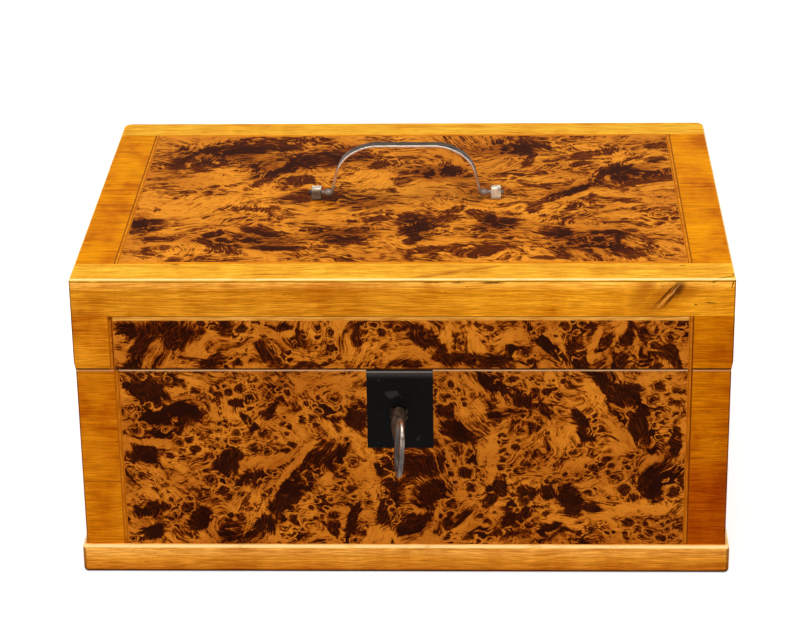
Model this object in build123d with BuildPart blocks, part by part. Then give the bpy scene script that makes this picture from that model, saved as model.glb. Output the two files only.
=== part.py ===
from build123d import *
import os
from math import cos, radians, sin, tan

# A veneered ditty box: a dovetailed carcase with a hinged lid, a box lock with its key,
# and a drop handle on the lid.
# Frame: origin at the centre of the underside, +X to the right seen from the front,
# +Y to the back, +Z up. Lengths are in millimetres, angles in degrees.

# ---- overall sizes ----
lid_width = 300.0
lid_depth = 212.0
overall_height = 148.8
parting_height = 103.9
parting_gap = 0.2
side_overhang = 0.6
front_overhang = 1.1

# ---- boards and veneers ----
wall = 10.0
bottom_thickness = 8.0
top_thickness = 8.0
veneer = 1.2
corner_round = 1.1
back_corner_round = 4.5
rim_round = 0.5
lid_taper_depth = 0.9
lid_taper_height = 4.5

# ---- dovetails ----
tail_pitch = 22.0
tail_share = 0.56
tail_slope = 6.0

# ---- plinth moulding ----
plinth_height = 14.2
plinth_proud = 2.0
plinth_top_round = 1.9
plinth_foot_round = 2.4

# ---- banding and stringing ----
band_width = 18.3
string_width = 2.3
top_rail_height = 18.2
lid_string_width = 2.1
lid_panel_half = 130.2
lid_panel_shift = -0.8
case_panel_half = 129.5
top_panel_half = 129.4

# ---- hinges ----
hinge_spacing = 190.0
hinge_length = 38.0
leaf_thickness = 1.2
leaf_width = 3.6
leaf_fit = 0.15
knuckle_radius = 2.4
knuckle_count = 5
knuckle_gap = 0.2
gain_clearance = 0.3
hinge_pin_radius = 1.2
pin_clearance = 0.05
hinge_inset = 3.5
opening_angle = 98.0
stop_clearance = 1.0
hinge_screw_spacing = 13.0

# ---- screws ----
screw_radius = 0.9
screw_head_radius = 1.5
screw_length = 9.0
lock_screw_length = 7.5
screw_slot_width = 0.5
screw_slot_depth = 0.5
screw_clearance = 0.1

# ---- lock ----
keyhole_x = -1.9
key_drop = 22.3
escutcheon_shift = 0.6
escutcheon_width = 30.4
escutcheon_height = 39.6
escutcheon_thickness = 1.6
escutcheon_edge = 0.3
keyhole_radius = 4.5
keyhole_slot_width = 3.0
keyhole_slot_reach = 8.8
lock_width = 66.0
lock_plate_height = 34.0
lock_plate = 1.2
lock_sheet = 0.8
lock_box_margin = 5.0
lock_depth = 6.4
lock_fit = 0.15
lock_front_edge = 1.1
lock_screw_inset_x = 2.5
lock_screw_drops = (8.0, 24.0)
bolt_throw = 6.0
bolt_thickness = 2.4
bolt_bar_height = 6.4
bolt_bar_gap = 0.6
bolt_arm_width = 3.2
talon_width = 13.6
finger_height = 3.2
finger_end_gap = 0.75
rest_height = 1.5
rest_length = 9.0
rest_offset = 13.0
slide_clearance = 0.1
drill_pin_radius = 1.45
drill_pin_length = 8.0
spring_thickness = 0.5
spring_width = 4.0
spring_length = 12.0
spring_flat = 3.0
spring_contact = 8.4
spring_rise = 3.2
spring_gap = 0.25

# ---- strike plate on the lid ----
strike_width = 56.0
strike_depth = 6.0
strike_thickness = 1.2
loop_spacing = 28.0
loop_length = 11.4
loop_thickness = 2.5
loop_depth = 4.8
loop_clearance = 0.4
loop_foot = 1.6
loop_slot_clearance = 0.5
loop_swing_clearance = 0.8
loop_set_back = 0.1
strike_screw_spacing = 46.0

# ---- key ----
key_rest_angle = 4.0
key_shank_radius = 3.35
key_bore_clearance = 0.05
key_bore_depth = 9.5
key_end_clearance = 0.4
key_bit_reach = 8.0
key_bit_thickness = 2.0
key_bit_length = 5.2
key_bow_distance = 36.0
key_bow_height = 28.0
key_bow_width = 22.0
key_bow_bar = 3.0
key_bow_thickness = 2.8
key_bow_round = 1.2
key_bow_turn = 8.0
key_neck_start = 13.0
key_neck_radius = 1.7

# ---- handle ----
handle_shift = -0.45
handle_forward = 4.2
handle_spacing = 86.5
pivot_height = 3.1
bail_rise = 24.4
bail_width = 5.8
bail_foot_width = 3.6
bail_thickness = 1.2
bail_foot_x = 35.7
bail_foot_reach = 3.9
bail_shoulder_x = 31.5
bail_shoulder_rise = 17.6
bail_crown_x = 19.0
bail_foot_radius = 2.6
bail_shoulder_radius = 17.0
bail_crown_radius = 22.0
handle_pin_radius = 1.1
handle_pin_end = 1.6
post_width = 4.8
post_depth = 4.6
post_height = 6.0
post_round = 1.6
post_shank_radius = 1.6
post_hole_clearance = 0.1
washer_radius = 4.0
washer_thickness = 0.8
nut_width = 6.4
nut_thickness = 2.4
post_tail = 0.8

# ---- the most of a face that a round may take: from one side only, and from both sides ----
whole_edge_share = 0.95
half_edge_share = 0.45

# ---- derived planes ----
lid_side = lid_width / 2
lid_front = -lid_depth / 2
back = lid_depth / 2
case_side = lid_side - side_overhang
case_front = lid_front + front_overhang
case_top = parting_height - parting_gap / 2
lid_bottom = parting_height + parting_gap / 2
top_veneer_z = overall_height - veneer
rim_top = top_veneer_z - top_thickness
case_board_x = case_side - veneer
lid_board_x = lid_side - veneer
case_board_front = case_front + veneer
lid_board_front = lid_front + veneer
inner_back = back - wall
hinge_y = back - hinge_inset
bevel_angle = (opening_angle + stop_clearance) / 2
key_z = parting_height - key_drop
plate_face = case_board_front + wall
plate_back = plate_face - lock_plate
cavity_front = plate_back - lock_depth
bolt_middle_y = (cavity_front + plate_back) / 2
loop_y = bolt_middle_y + loop_set_back
pivot_z = overall_height + pivot_height
handle_y = -handle_forward
cut_margin = 5.0

os.makedirs("parts", exist_ok=True)


def finish(piece, label):
    """Label a finished piece and write it."""
    piece.part.label = label
    export_step(piece.part, f"parts/{label}.step")


def block(x_span, y_span, z_span, mode=Mode.ADD):
    """A box between two limits on each axis."""
    middle = [(low + high) / 2 for low, high in (x_span, y_span, z_span)]
    size = [high - low for low, high in (x_span, y_span, z_span)]
    with Locations(tuple(middle)):
        Box(*size, mode=mode)


def around(middle, length):
    """The limits of a length centred on a place."""
    return (middle - length / 2, middle + length / 2)


def rod(middle, radius, length, mode=Mode.ADD):
    """A round bar along X."""
    with Locations(Location(middle, (0, 90, 0))):
        Cylinder(radius, length, mode=mode)


def keyhole(y_span):
    """Cut the keyhole, a round hole with a slot under it, through what lies between two planes."""
    with BuildSketch(Plane.XZ.offset(-y_span[1])) as outline:
        with Locations((keyhole_x, key_z)):
            Circle(keyhole_radius)
        with Locations((keyhole_x, key_z - keyhole_slot_reach / 2)):
            Rectangle(keyhole_slot_width, keyhole_slot_reach)
    extrude(outline.sketch, amount=y_span[1] - y_span[0], mode=Mode.SUBTRACT)


# ---- outer envelopes: every board and veneer is trimmed to these ----

def back_bevel(up):
    """Cut the bevel above or below the parting line that stops the lid when it is open."""
    reach = back + cut_margin - hinge_y
    rise = up * reach * tan(radians(bevel_angle))
    with BuildSketch(Plane.YZ.offset(-lid_width)) as groove:
        Polygon(
            (hinge_y, parting_height),
            (hinge_y + reach, parting_height + rise),
            (hinge_y + reach, parting_height - up * cut_margin),
            (hinge_y, parting_height - up * cut_margin),
            align=None,
        )
    extrude(groove.sketch, amount=2 * lid_width, mode=Mode.SUBTRACT)


with BuildPart() as case_envelope:
    block((-case_side, case_side), (case_front, back), (0, case_top))
    front_corners, back_corners = case_envelope.edges().filter_by(Axis.Z).group_by(Axis.Y)
    fillet(front_corners, corner_round)
    fillet(back_corners, back_corner_round)
    fillet(case_envelope.faces().sort_by(Axis.Z)[-1].edges(), rim_round)
    # the foot stays square, so that it fills the mitred plinth
    block((-case_side, case_side), (case_front, back), (0, plinth_height))
    back_bevel(-1)

with BuildPart() as lid_envelope:
    block((-lid_side, lid_side), (lid_front, back), (lid_bottom, overall_height))
    front_corners, back_corners = lid_envelope.edges().filter_by(Axis.Z).group_by(Axis.Y)
    fillet(back_corners, back_corner_round)
    front_corners = lid_envelope.edges().filter_by(Axis.Z).group_by(Axis.Y)[0]
    lid_top_edges = lid_envelope.faces().sort_by(Axis.Z)[-1].edges()
    fillet(front_corners + lid_top_edges, corner_round)
    fillet(lid_envelope.faces().sort_by(Axis.Z)[0].edges().sort_by(Axis.Y)[0], rim_round)
    with BuildSketch(Plane.XZ.offset(-(back + cut_margin))) as lid_tapers:
        with BuildLine():
            Polyline(
                (lid_side - lid_taper_depth, lid_bottom - cut_margin),
                (lid_side - lid_taper_depth, lid_bottom),
                (lid_side, lid_bottom + lid_taper_height),
                (lid_side + cut_margin, lid_bottom + lid_taper_height),
                (lid_side + cut_margin, lid_bottom - cut_margin),
                close=True,
            )
        make_face()
        mirror(about=Plane.YZ)
    extrude(amount=lid_depth + 2 * cut_margin, mode=Mode.SUBTRACT)
    back_bevel(1)


def trimmed(label, envelope, *spans):
    """One node of flat pieces, each given by its limits, trimmed to an envelope."""
    with BuildPart() as piece:
        for x_span, y_span, z_span in spans:
            block(x_span, y_span, z_span)
        add(envelope.part, mode=Mode.INTERSECT)
    finish(piece, label)
    return piece


# ---- screws ----

def screw(length):
    """A slotted countersunk wood screw, head up at the origin, pointing down."""
    point = 2 * screw_radius
    with BuildPart() as piece:
        with BuildSketch(Plane.XZ):
            Polygon(
                (0, 0),
                (screw_head_radius, 0),
                (screw_radius, -(screw_head_radius - screw_radius)),
                (screw_radius, point - length),
                (0, -length),
                align=None,
            )
        revolve(axis=Axis.Z)
        block(
            around(0, screw_slot_width),
            around(0, 3 * screw_head_radius),
            (-screw_slot_depth, cut_margin),
            mode=Mode.SUBTRACT,
        )
    return piece.part


wood_screw = screw(screw_length)
lock_screw = screw(lock_screw_length)


def screw_group(label, shape, places):
    """Identical screws in one node, each at its own place and turn."""
    with BuildPart() as group:
        with Locations(*places):
            add(shape)
    finish(group, label)
    return group


hinge_centres = [-hinge_spacing / 2, hinge_spacing / 2]
leaf_outer = hinge_y - knuckle_radius - knuckle_gap
leaf_inner = leaf_outer - leaf_width
hinge_screw_y = (leaf_inner + leaf_outer) / 2
hinge_screw_x = [
    centre + step * hinge_screw_spacing for centre in hinge_centres for step in (-1, 0, 1)
]
lock_x = around(keyhole_x, lock_width)
lock_screw_places = [
    Location((edge, plate_face, case_top - drop), (-90, 0, 0))
    for edge in (lock_x[0] + lock_screw_inset_x, lock_x[1] - lock_screw_inset_x)
    for drop in lock_screw_drops
]
strike_screw_x = around(keyhole_x, strike_screw_spacing)

case_hinge_screws = screw_group(
    "hinge_case_screws",
    wood_screw,
    [Location((x, hinge_screw_y, case_top)) for x in hinge_screw_x],
)
lid_hinge_screws = screw_group(
    "hinge_lid_screws",
    wood_screw,
    [Location((x, hinge_screw_y, lid_bottom), (180, 0, 0)) for x in hinge_screw_x],
)
lock_screws = screw_group("lock_screws", lock_screw, lock_screw_places)
strike_screws = screw_group(
    "strike_screws",
    wood_screw,
    [Location((x, loop_y, lid_bottom), (180, 0, 0)) for x in strike_screw_x],
)


# ---- hinges ----

def hinge_leaf(label, centre, up, face, screw_places, own):
    """A butt hinge leaf with every second knuckle; up is -1 on the case and 1 on the lid."""
    pitch = hinge_length / knuckle_count
    z_span = sorted((face, face + up * leaf_thickness))
    with BuildPart() as leaf:
        block(around(centre, hinge_length), (leaf_inner, leaf_outer), z_span)
        for index in own:
            middle = centre + (index + 0.5) * pitch - hinge_length / 2
            block(around(middle, pitch - knuckle_gap), (leaf_outer, hinge_y), z_span)
            rod((middle, hinge_y, parting_height), knuckle_radius, pitch - knuckle_gap)
        rod(
            (centre, hinge_y, parting_height),
            hinge_pin_radius + pin_clearance,
            2 * hinge_length,
            mode=Mode.SUBTRACT,
        )
        with Locations(*screw_places):
            CounterSinkHole(
                radius=screw_radius + screw_clearance,
                counter_sink_radius=screw_head_radius,
                depth=2 * leaf_thickness,
                counter_sink_angle=90,
            )
    finish(leaf, label)


for side, centre in zip(("left", "right"), hinge_centres):
    screw_x = [centre + step * hinge_screw_spacing for step in (-1, 0, 1)]
    hinge_leaf(
        f"hinge_{side}_case_leaf",
        centre,
        -1,
        case_top,
        [Location((x, hinge_screw_y, case_top)) for x in screw_x],
        range(0, knuckle_count, 2),
    )
    hinge_leaf(
        f"hinge_{side}_lid_leaf",
        centre,
        1,
        lid_bottom,
        [Location((x, hinge_screw_y, lid_bottom), (180, 0, 0)) for x in screw_x],
        range(1, knuckle_count, 2),
    )
    with BuildPart() as hinge_pin:
        rod((centre, hinge_y, parting_height), hinge_pin_radius, hinge_length)
    finish(hinge_pin, f"hinge_{side}_pin")


def hinge_gains(face, up):
    """Cut the recesses for the leaves and the knuckles in a back board."""
    z_span = sorted((face + up * leaf_thickness, face - up * cut_margin))
    for centre in hinge_centres:
        length = hinge_length + 2 * leaf_fit
        block(around(centre, length), (leaf_inner - leaf_fit, hinge_y), z_span, mode=Mode.SUBTRACT)
        rod(
            (centre, hinge_y, parting_height),
            knuckle_radius + gain_clearance,
            length,
            mode=Mode.SUBTRACT,
        )


# ---- carcase: front and back boards carry the tails, side boards take the pins ----

def tail_board(x_end, y_span, z_span):
    """A board across the width with a row of dovetails at each end, in the open part builder."""
    x_neck = x_end - wall
    height = z_span[1] - z_span[0]
    count = max(1, round(height / tail_pitch))
    pitch = height / count
    neck = pitch * tail_share / 2
    flare = neck + wall / tail_slope
    block((-x_neck, x_neck), y_span, z_span)
    with BuildSketch(Plane.XZ.offset(-y_span[1])) as tails:
        for end in (-1, 1):
            for index in range(count):
                middle = z_span[0] + (index + 0.5) * pitch
                Polygon(
                    (end * x_neck, middle - neck),
                    (end * x_end, middle - flare),
                    (end * x_end, middle + flare),
                    (end * x_neck, middle + neck),
                    align=None,
                )
    extrude(tails.sketch, amount=y_span[1] - y_span[0])


case_front_y = (case_board_front, case_board_front + wall)
lid_front_y = (lid_board_front, lid_board_front + wall)
back_y = (inner_back, back)
case_z = (bottom_thickness, case_top)
lid_z = (lid_bottom, rim_top)

lock_box_x = around(keyhole_x, lock_width - 2 * lock_box_margin)
lock_box_bottom = key_z - key_bit_reach - slide_clearance - 2 * lock_sheet
selvage_front = case_board_front + lock_front_edge
strike_x = around(keyhole_x, strike_width)
strike_y = around(loop_y, strike_depth)
strike_z = (lid_bottom, lid_bottom + strike_thickness)
post_x = around(handle_shift, handle_spacing)
post_hole_radius = post_shank_radius + post_hole_clearance

with BuildPart() as case_front_board:
    tail_board(case_board_x, case_front_y, case_z)
    block(
        (lock_box_x[0] - lock_fit, lock_box_x[1] + lock_fit),
        (cavity_front - lock_sheet - lock_fit, plate_face),
        (lock_box_bottom - lock_fit, case_top),
        mode=Mode.SUBTRACT,
    )
    block(
        (lock_x[0] - lock_fit, lock_x[1] + lock_fit),
        (plate_back, plate_face),
        (case_top - lock_plate_height - lock_fit, case_top),
        mode=Mode.SUBTRACT,
    )
    block(
        (lock_x[0] - lock_fit, lock_x[1] + lock_fit),
        (selvage_front - lock_fit, plate_face),
        (case_top - lock_plate, case_top),
        mode=Mode.SUBTRACT,
    )
    keyhole(case_front_y)
    add(lock_screws.part, mode=Mode.SUBTRACT)
finish(case_front_board, "case_front_board")

with BuildPart() as case_back_board:
    tail_board(case_board_x, back_y, case_z)
    add(case_envelope.part, mode=Mode.INTERSECT)
    hinge_gains(case_top, -1)
    add(case_hinge_screws.part, mode=Mode.SUBTRACT)
finish(case_back_board, "case_back_board")

with BuildPart() as lid_front_board:
    tail_board(lid_board_x, lid_front_y, lid_z)
    block(strike_x, strike_y, strike_z, mode=Mode.SUBTRACT)
    add(strike_screws.part, mode=Mode.SUBTRACT)
finish(lid_front_board, "lid_front_board")

with BuildPart() as lid_back_board:
    tail_board(lid_board_x, back_y, lid_z)
    add(lid_envelope.part, mode=Mode.INTERSECT)
    hinge_gains(lid_bottom, 1)
    add(lid_hinge_screws.part, mode=Mode.SUBTRACT)
finish(lid_back_board, "lid_back_board")

for side, way in (("left", -1), ("right", 1)):
    with BuildPart() as case_side_board:
        block(
            sorted((way * (case_board_x - wall), way * case_board_x)),
            (case_board_front, back),
            case_z,
        )
        add(case_envelope.part, mode=Mode.INTERSECT)
        add(case_front_board.part, mode=Mode.SUBTRACT)
        add(case_back_board.part, mode=Mode.SUBTRACT)
    finish(case_side_board, f"case_{side}_board")

    with BuildPart() as lid_side_board:
        block(
            sorted((way * (lid_board_x - wall), way * lid_board_x)),
            (lid_board_front, back),
            lid_z,
        )
        add(lid_envelope.part, mode=Mode.INTERSECT)
        add(lid_front_board.part, mode=Mode.SUBTRACT)
        add(lid_back_board.part, mode=Mode.SUBTRACT)
    finish(lid_side_board, f"lid_{side}_board")

trimmed(
    "case_bottom_board",
    case_envelope,
    ((-case_board_x, case_board_x), (case_board_front, back), (0, bottom_thickness)),
)

with BuildPart() as lid_top_board:
    block((-lid_board_x, lid_board_x), (lid_board_front, back), (rim_top, top_veneer_z))
    with Locations(*[(x, handle_y, top_veneer_z) for x in post_x]):
        Hole(post_hole_radius)
finish(lid_top_board, "lid_top_board")


# ---- plinth moulding: four mitred strips round the foot of the case ----

plinth_side = case_side + plinth_proud
plinth_front = case_front - plinth_proud
plinth_back = back + plinth_proud

with BuildPart() as plinth_ring:
    block((-plinth_side, plinth_side), (plinth_front, plinth_back), (0, plinth_height))
    fillet(plinth_ring.edges().filter_by(Axis.Z), plinth_foot_round)
    top_limit = whole_edge_share * plinth_proud
    fillet(plinth_ring.faces().sort_by(Axis.Z)[-1].edges(), min(plinth_top_round, top_limit))
    foot_limit = whole_edge_share * min(plinth_proud, plinth_height / 2)
    fillet(plinth_ring.faces().sort_by(Axis.Z)[0].edges(), min(plinth_foot_round, foot_limit))
    block(
        (-case_board_x, case_board_x),
        (case_board_front, back),
        (-cut_margin, plinth_height + cut_margin),
        mode=Mode.SUBTRACT,
    )

plinth_outer = [
    (-plinth_side, plinth_front),
    (plinth_side, plinth_front),
    (plinth_side, plinth_back),
    (-plinth_side, plinth_back),
]
plinth_inner = [
    (-case_board_x, case_board_front),
    (case_board_x, case_board_front),
    (case_board_x, back),
    (-case_board_x, back),
]
for index, side in enumerate(("front", "right", "back", "left")):
    follow = (index + 1) % 4
    with BuildPart() as plinth_strip:
        with BuildSketch(Plane.XY):
            Polygon(
                plinth_outer[index],
                plinth_outer[follow],
                plinth_inner[follow],
                plinth_inner[index],
                align=None,
            )
        extrude(amount=plinth_height)
        add(plinth_ring.part, mode=Mode.INTERSECT)
    finish(plinth_strip, f"plinth_{side}")


# ---- veneers of the case ----

case_veneer_y = (case_front, case_board_front)
case_veneer_z = (plinth_height, case_top)
case_string_half = case_panel_half + string_width
escutcheon_x = around(keyhole_x + escutcheon_shift, escutcheon_width)
escutcheon_z = (case_top - escutcheon_height, case_top)

with BuildPart() as case_front_burl:
    block((-case_panel_half, case_panel_half), case_veneer_y, case_veneer_z)
    add(case_envelope.part, mode=Mode.INTERSECT)
    block(escutcheon_x, case_veneer_y, (escutcheon_z[0], case_top + cut_margin), mode=Mode.SUBTRACT)
finish(case_front_burl, "case_front_burl")

trimmed(
    "case_front_stile_left",
    case_envelope,
    ((-case_side, -case_string_half), case_veneer_y, case_veneer_z),
)
trimmed(
    "case_front_stile_right",
    case_envelope,
    ((case_string_half, case_side), case_veneer_y, case_veneer_z),
)
trimmed(
    "case_front_strings",
    case_envelope,
    ((-case_string_half, -case_panel_half), case_veneer_y, case_veneer_z),
    ((case_panel_half, case_string_half), case_veneer_y, case_veneer_z),
)

front_stile_y = (case_board_front, case_front + band_width)
back_stile_y = (back - band_width, back)
for side, way in (("left", -1), ("right", 1)):
    skin_x = sorted((way * case_board_x, way * case_side))
    trimmed(
        f"case_{side}_burl",
        case_envelope,
        (skin_x, (front_stile_y[1], back_stile_y[0]), case_veneer_z),
    )
    trimmed(
        f"case_{side}_stiles",
        case_envelope,
        (skin_x, front_stile_y, case_veneer_z),
        (skin_x, back_stile_y, case_veneer_z),
    )


# ---- veneers of the lid's front and sides ----

lid_veneer_y = (lid_front, lid_board_front)
lid_rail_z = overall_height - top_rail_height
lid_string_z = lid_rail_z - lid_string_width
lid_panel_x = around(lid_panel_shift, 2 * lid_panel_half)
lid_string_x = around(lid_panel_shift, 2 * (lid_panel_half + string_width))

trimmed("lid_front_rail", lid_envelope, ((-lid_side, lid_side), lid_veneer_y, (lid_rail_z, top_veneer_z)))
trimmed(
    "lid_front_stile_left",
    lid_envelope,
    ((-lid_side, lid_string_x[0]), lid_veneer_y, (lid_bottom, lid_rail_z)),
)
trimmed(
    "lid_front_stile_right",
    lid_envelope,
    ((lid_string_x[1], lid_side), lid_veneer_y, (lid_bottom, lid_rail_z)),
)
trimmed("lid_front_burl", lid_envelope, (lid_panel_x, lid_veneer_y, (lid_bottom, lid_string_z)))
trimmed(
    "lid_front_strings",
    lid_envelope,
    (lid_string_x, lid_veneer_y, (lid_string_z, lid_rail_z)),
    ((lid_string_x[0], lid_panel_x[0]), lid_veneer_y, (lid_bottom, lid_string_z)),
    ((lid_panel_x[1], lid_string_x[1]), lid_veneer_y, (lid_bottom, lid_string_z)),
)

lid_stile_front_y = (lid_board_front, lid_front + band_width)
for side, way in (("left", -1), ("right", 1)):
    skin_x = sorted((way * lid_board_x, way * lid_side))
    trimmed(
        f"lid_{side}_burl",
        lid_envelope,
        (skin_x, (lid_stile_front_y[1], back_stile_y[0]), (lid_bottom, lid_rail_z)),
    )
    trimmed(
        f"lid_{side}_bands",
        lid_envelope,
        (skin_x, (lid_board_front, back), (lid_rail_z, top_veneer_z)),
        (skin_x, lid_stile_front_y, (lid_bottom, lid_rail_z)),
        (skin_x, back_stile_y, (lid_bottom, lid_rail_z)),
    )


# ---- veneers of the lid's top ----

top_z = (top_veneer_z, overall_height)
top_string_half = top_panel_half + string_width
top_band_y = (lid_front + band_width, back - band_width)
top_panel_y = (top_band_y[0] + string_width, top_band_y[1] - string_width)

trimmed("lid_top_front_band", lid_envelope, ((-lid_side, lid_side), (lid_front, top_band_y[0]), top_z))
trimmed("lid_top_back_band", lid_envelope, ((-lid_side, lid_side), (top_band_y[1], back), top_z))
trimmed("lid_top_left_band", lid_envelope, ((-lid_side, -top_string_half), top_band_y, top_z))
trimmed("lid_top_right_band", lid_envelope, ((top_string_half, lid_side), top_band_y, top_z))
trimmed(
    "lid_top_strings",
    lid_envelope,
    ((-top_string_half, top_string_half), (top_band_y[0], top_panel_y[0]), top_z),
    ((-top_string_half, top_string_half), (top_panel_y[1], top_band_y[1]), top_z),
    ((-top_string_half, -top_panel_half), top_panel_y, top_z),
    ((top_panel_half, top_string_half), top_panel_y, top_z),
)

with BuildPart() as lid_top_burl:
    block((-top_panel_half, top_panel_half), top_panel_y, top_z)
    with Locations(*[(x, handle_y, overall_height) for x in post_x]):
        Hole(post_hole_radius)
finish(lid_top_burl, "lid_top_burl")


# ---- escutcheon and lock ----

with BuildPart() as escutcheon:
    block(escutcheon_x, (case_board_front - escutcheon_thickness, case_board_front), escutcheon_z)
    chamfer(escutcheon.faces().sort_by(Axis.Y)[0].edges(), escutcheon_edge)
    keyhole((case_board_front - escutcheon_thickness, case_board_front))
finish(escutcheon, "escutcheon")

loop_x = around(keyhole_x, loop_spacing)
with BuildPart() as lock_backplate:
    block(lock_x, (plate_back, plate_face), (case_top - lock_plate_height, case_top))
    block(lock_x, (selvage_front, plate_back), (case_top - lock_plate, case_top))
    for x in loop_x:
        block(
            around(x, loop_thickness + 2 * loop_slot_clearance),
            (loop_y - loop_depth / 2 - loop_swing_clearance, loop_y + loop_depth / 2 + loop_slot_clearance),
            (case_top - 2 * lock_plate, case_top + cut_margin),
            mode=Mode.SUBTRACT,
        )
    with Locations(Location((keyhole_x, plate_back - drill_pin_length / 2, key_z), (90, 0, 0))):
        Cylinder(drill_pin_radius, drill_pin_length)
    for way in (-1, 1):
        block(
            around(keyhole_x + way * rest_offset, rest_length),
            (plate_back - (lock_depth + bolt_thickness) / 2, plate_back),
            (
                key_z + key_shank_radius + bolt_bar_gap - slide_clearance - rest_height,
                key_z + key_shank_radius + bolt_bar_gap - slide_clearance,
            ),
        )
    with Locations(*lock_screw_places):
        CounterSinkHole(
            radius=screw_radius + screw_clearance,
            counter_sink_radius=screw_head_radius,
            depth=2 * lock_plate,
            counter_sink_angle=90,
        )
finish(lock_backplate, "lock_backplate")

with BuildPart() as lock_case:
    block(
        lock_box_x,
        (cavity_front - lock_sheet, plate_back),
        (lock_box_bottom, case_top - lock_plate),
    )
    block(
        (lock_box_x[0] + lock_sheet, lock_box_x[1] - lock_sheet),
        (cavity_front, plate_back),
        (lock_box_bottom + lock_sheet, case_top),
        mode=Mode.SUBTRACT,
    )
    keyhole((cavity_front - lock_sheet, cavity_front))
finish(lock_case, "lock_case")

# The bolt stands at rest clear of the strike plate's loops and slides to the right into them.
bolt_y = around(bolt_middle_y, bolt_thickness)
bar_bottom = key_z + key_shank_radius + bolt_bar_gap
bar_top = bar_bottom + bolt_bar_height
loop_bottom = lid_bottom - loop_length
finger_z = (
    loop_bottom + loop_foot + loop_clearance * 2,
    loop_bottom + loop_foot + loop_clearance * 2 + finger_height,
)
finger_ends = [x - loop_thickness / 2 - finger_end_gap for x in loop_x]
arm_right_sides = [
    x - loop_thickness / 2 - loop_clearance - slide_clearance - bolt_throw for x in loop_x
]
talon_middle = keyhole_x - bolt_throw / 2

with BuildPart() as lock_bolt:
    block((arm_right_sides[0] - bolt_arm_width, arm_right_sides[1]), bolt_y, (bar_bottom, bar_top))
    for arm_side, finger_end in zip(arm_right_sides, finger_ends):
        block((arm_side - bolt_arm_width, arm_side), bolt_y, (bar_bottom, finger_z[1]))
        block((arm_side, finger_end), bolt_y, finger_z)
    block(
        around(talon_middle, talon_width),
        bolt_y,
        (bar_bottom - cut_margin, key_z + key_bit_reach + bolt_bar_gap),
        mode=Mode.SUBTRACT,
    )
finish(lock_bolt, "lock_bolt")

# A leaf spring that steadies the bolt; its middle stands just clear of the bolt's top edge.
spring_foot = bar_top + spring_gap + spring_thickness / 2
spring_right = arm_right_sides[1] - bolt_arm_width - 2 * spring_gap
spring_left = spring_right - spring_length
with BuildPart() as lock_spring:
    with BuildSketch(Plane.XZ.offset(-bolt_middle_y)):
        with BuildLine():
            Polyline(
                (spring_left, spring_foot + spring_rise),
                (spring_left + spring_flat, spring_foot + spring_rise),
                (spring_left + spring_contact, spring_foot),
                (spring_right, spring_foot + spring_rise / 2),
            )
        trace(line_width=spring_thickness)
    extrude(amount=spring_width / 2, both=True)
    block(
        (spring_left, spring_left + spring_flat),
        (plate_back - (lock_depth - spring_width) / 2, plate_back),
        around(spring_foot + spring_rise, spring_thickness),
    )
finish(lock_spring, "lock_spring")

with BuildPart() as strike_plate:
    block(strike_x, strike_y, strike_z)
    for x in loop_x:
        block(around(x, loop_thickness), around(loop_y, loop_depth), (loop_bottom, lid_bottom))
        block(
            around(x, 2 * loop_thickness),
            around(loop_y, bolt_thickness + 2 * loop_clearance),
            (loop_bottom + loop_foot, finger_z[1] + 2 * loop_clearance),
            mode=Mode.SUBTRACT,
        )
    with Locations(*[Location((x, loop_y, lid_bottom), (180, 0, 0)) for x in strike_screw_x]):
        CounterSinkHole(
            radius=screw_radius + screw_clearance,
            counter_sink_radius=screw_head_radius,
            depth=2 * strike_thickness,
            counter_sink_angle=90,
        )
finish(strike_plate, "strike_plate")


# ---- key: its frame points out of the front, with its own Y axis leaning a little to the right,
# and its bow is bent a little further to the right than its shank ----

lean = radians(key_rest_angle)
key_frame = Plane(
    origin=(keyhole_x, case_front, key_z),
    x_dir=(cos(lean), 0, -sin(lean)),
    z_dir=(0, -1, 0),
)
shank_inner = case_front - plate_back + key_end_clearance
shank_end = key_bow_distance - key_bow_width / 2 + key_bow_bar / 2
bow_reach = key_bow_distance - shank_end
turn = radians(key_bow_turn)
bow_plane = Plane(
    origin=key_frame.from_local_coords((bow_reach * sin(turn), 0, shank_end + bow_reach * cos(turn))),
    x_dir=key_frame.z_dir * cos(turn) + key_frame.x_dir * sin(turn),
    z_dir=key_frame.x_dir * cos(turn) - key_frame.z_dir * sin(turn),
)

with BuildPart() as key:
    with BuildSketch(bow_plane):
        Ellipse(key_bow_width / 2, key_bow_height / 2)
        Ellipse(key_bow_width / 2 - key_bow_bar, key_bow_height / 2 - key_bow_bar, mode=Mode.SUBTRACT)
    extrude(amount=key_bow_thickness / 2, both=True)
    fillet(key.edges(), min(key_bow_round, half_edge_share * min(key_bow_bar, key_bow_thickness)))
    with BuildSketch(key_frame.offset(shank_inner)):
        Circle(key_shank_radius)
    extrude(amount=key_neck_start - shank_inner)
    with BuildSketch(key_frame.offset(key_neck_start)):
        Circle(key_shank_radius)
    with BuildSketch(key_frame.offset(shank_end)):
        Circle(key_neck_radius)
    loft()
    with BuildSketch(key_frame.offset(shank_inner)):
        with Locations((0, -key_bit_reach / 2)):
            Rectangle(key_bit_thickness, key_bit_reach)
    extrude(amount=key_bit_length)
    with BuildSketch(key_frame.offset(shank_inner)):
        Circle(drill_pin_radius + key_bore_clearance)
    extrude(amount=key_bore_depth, mode=Mode.SUBTRACT)
finish(key, "key")


# ---- handle, its posts, washers and nuts ----

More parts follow.
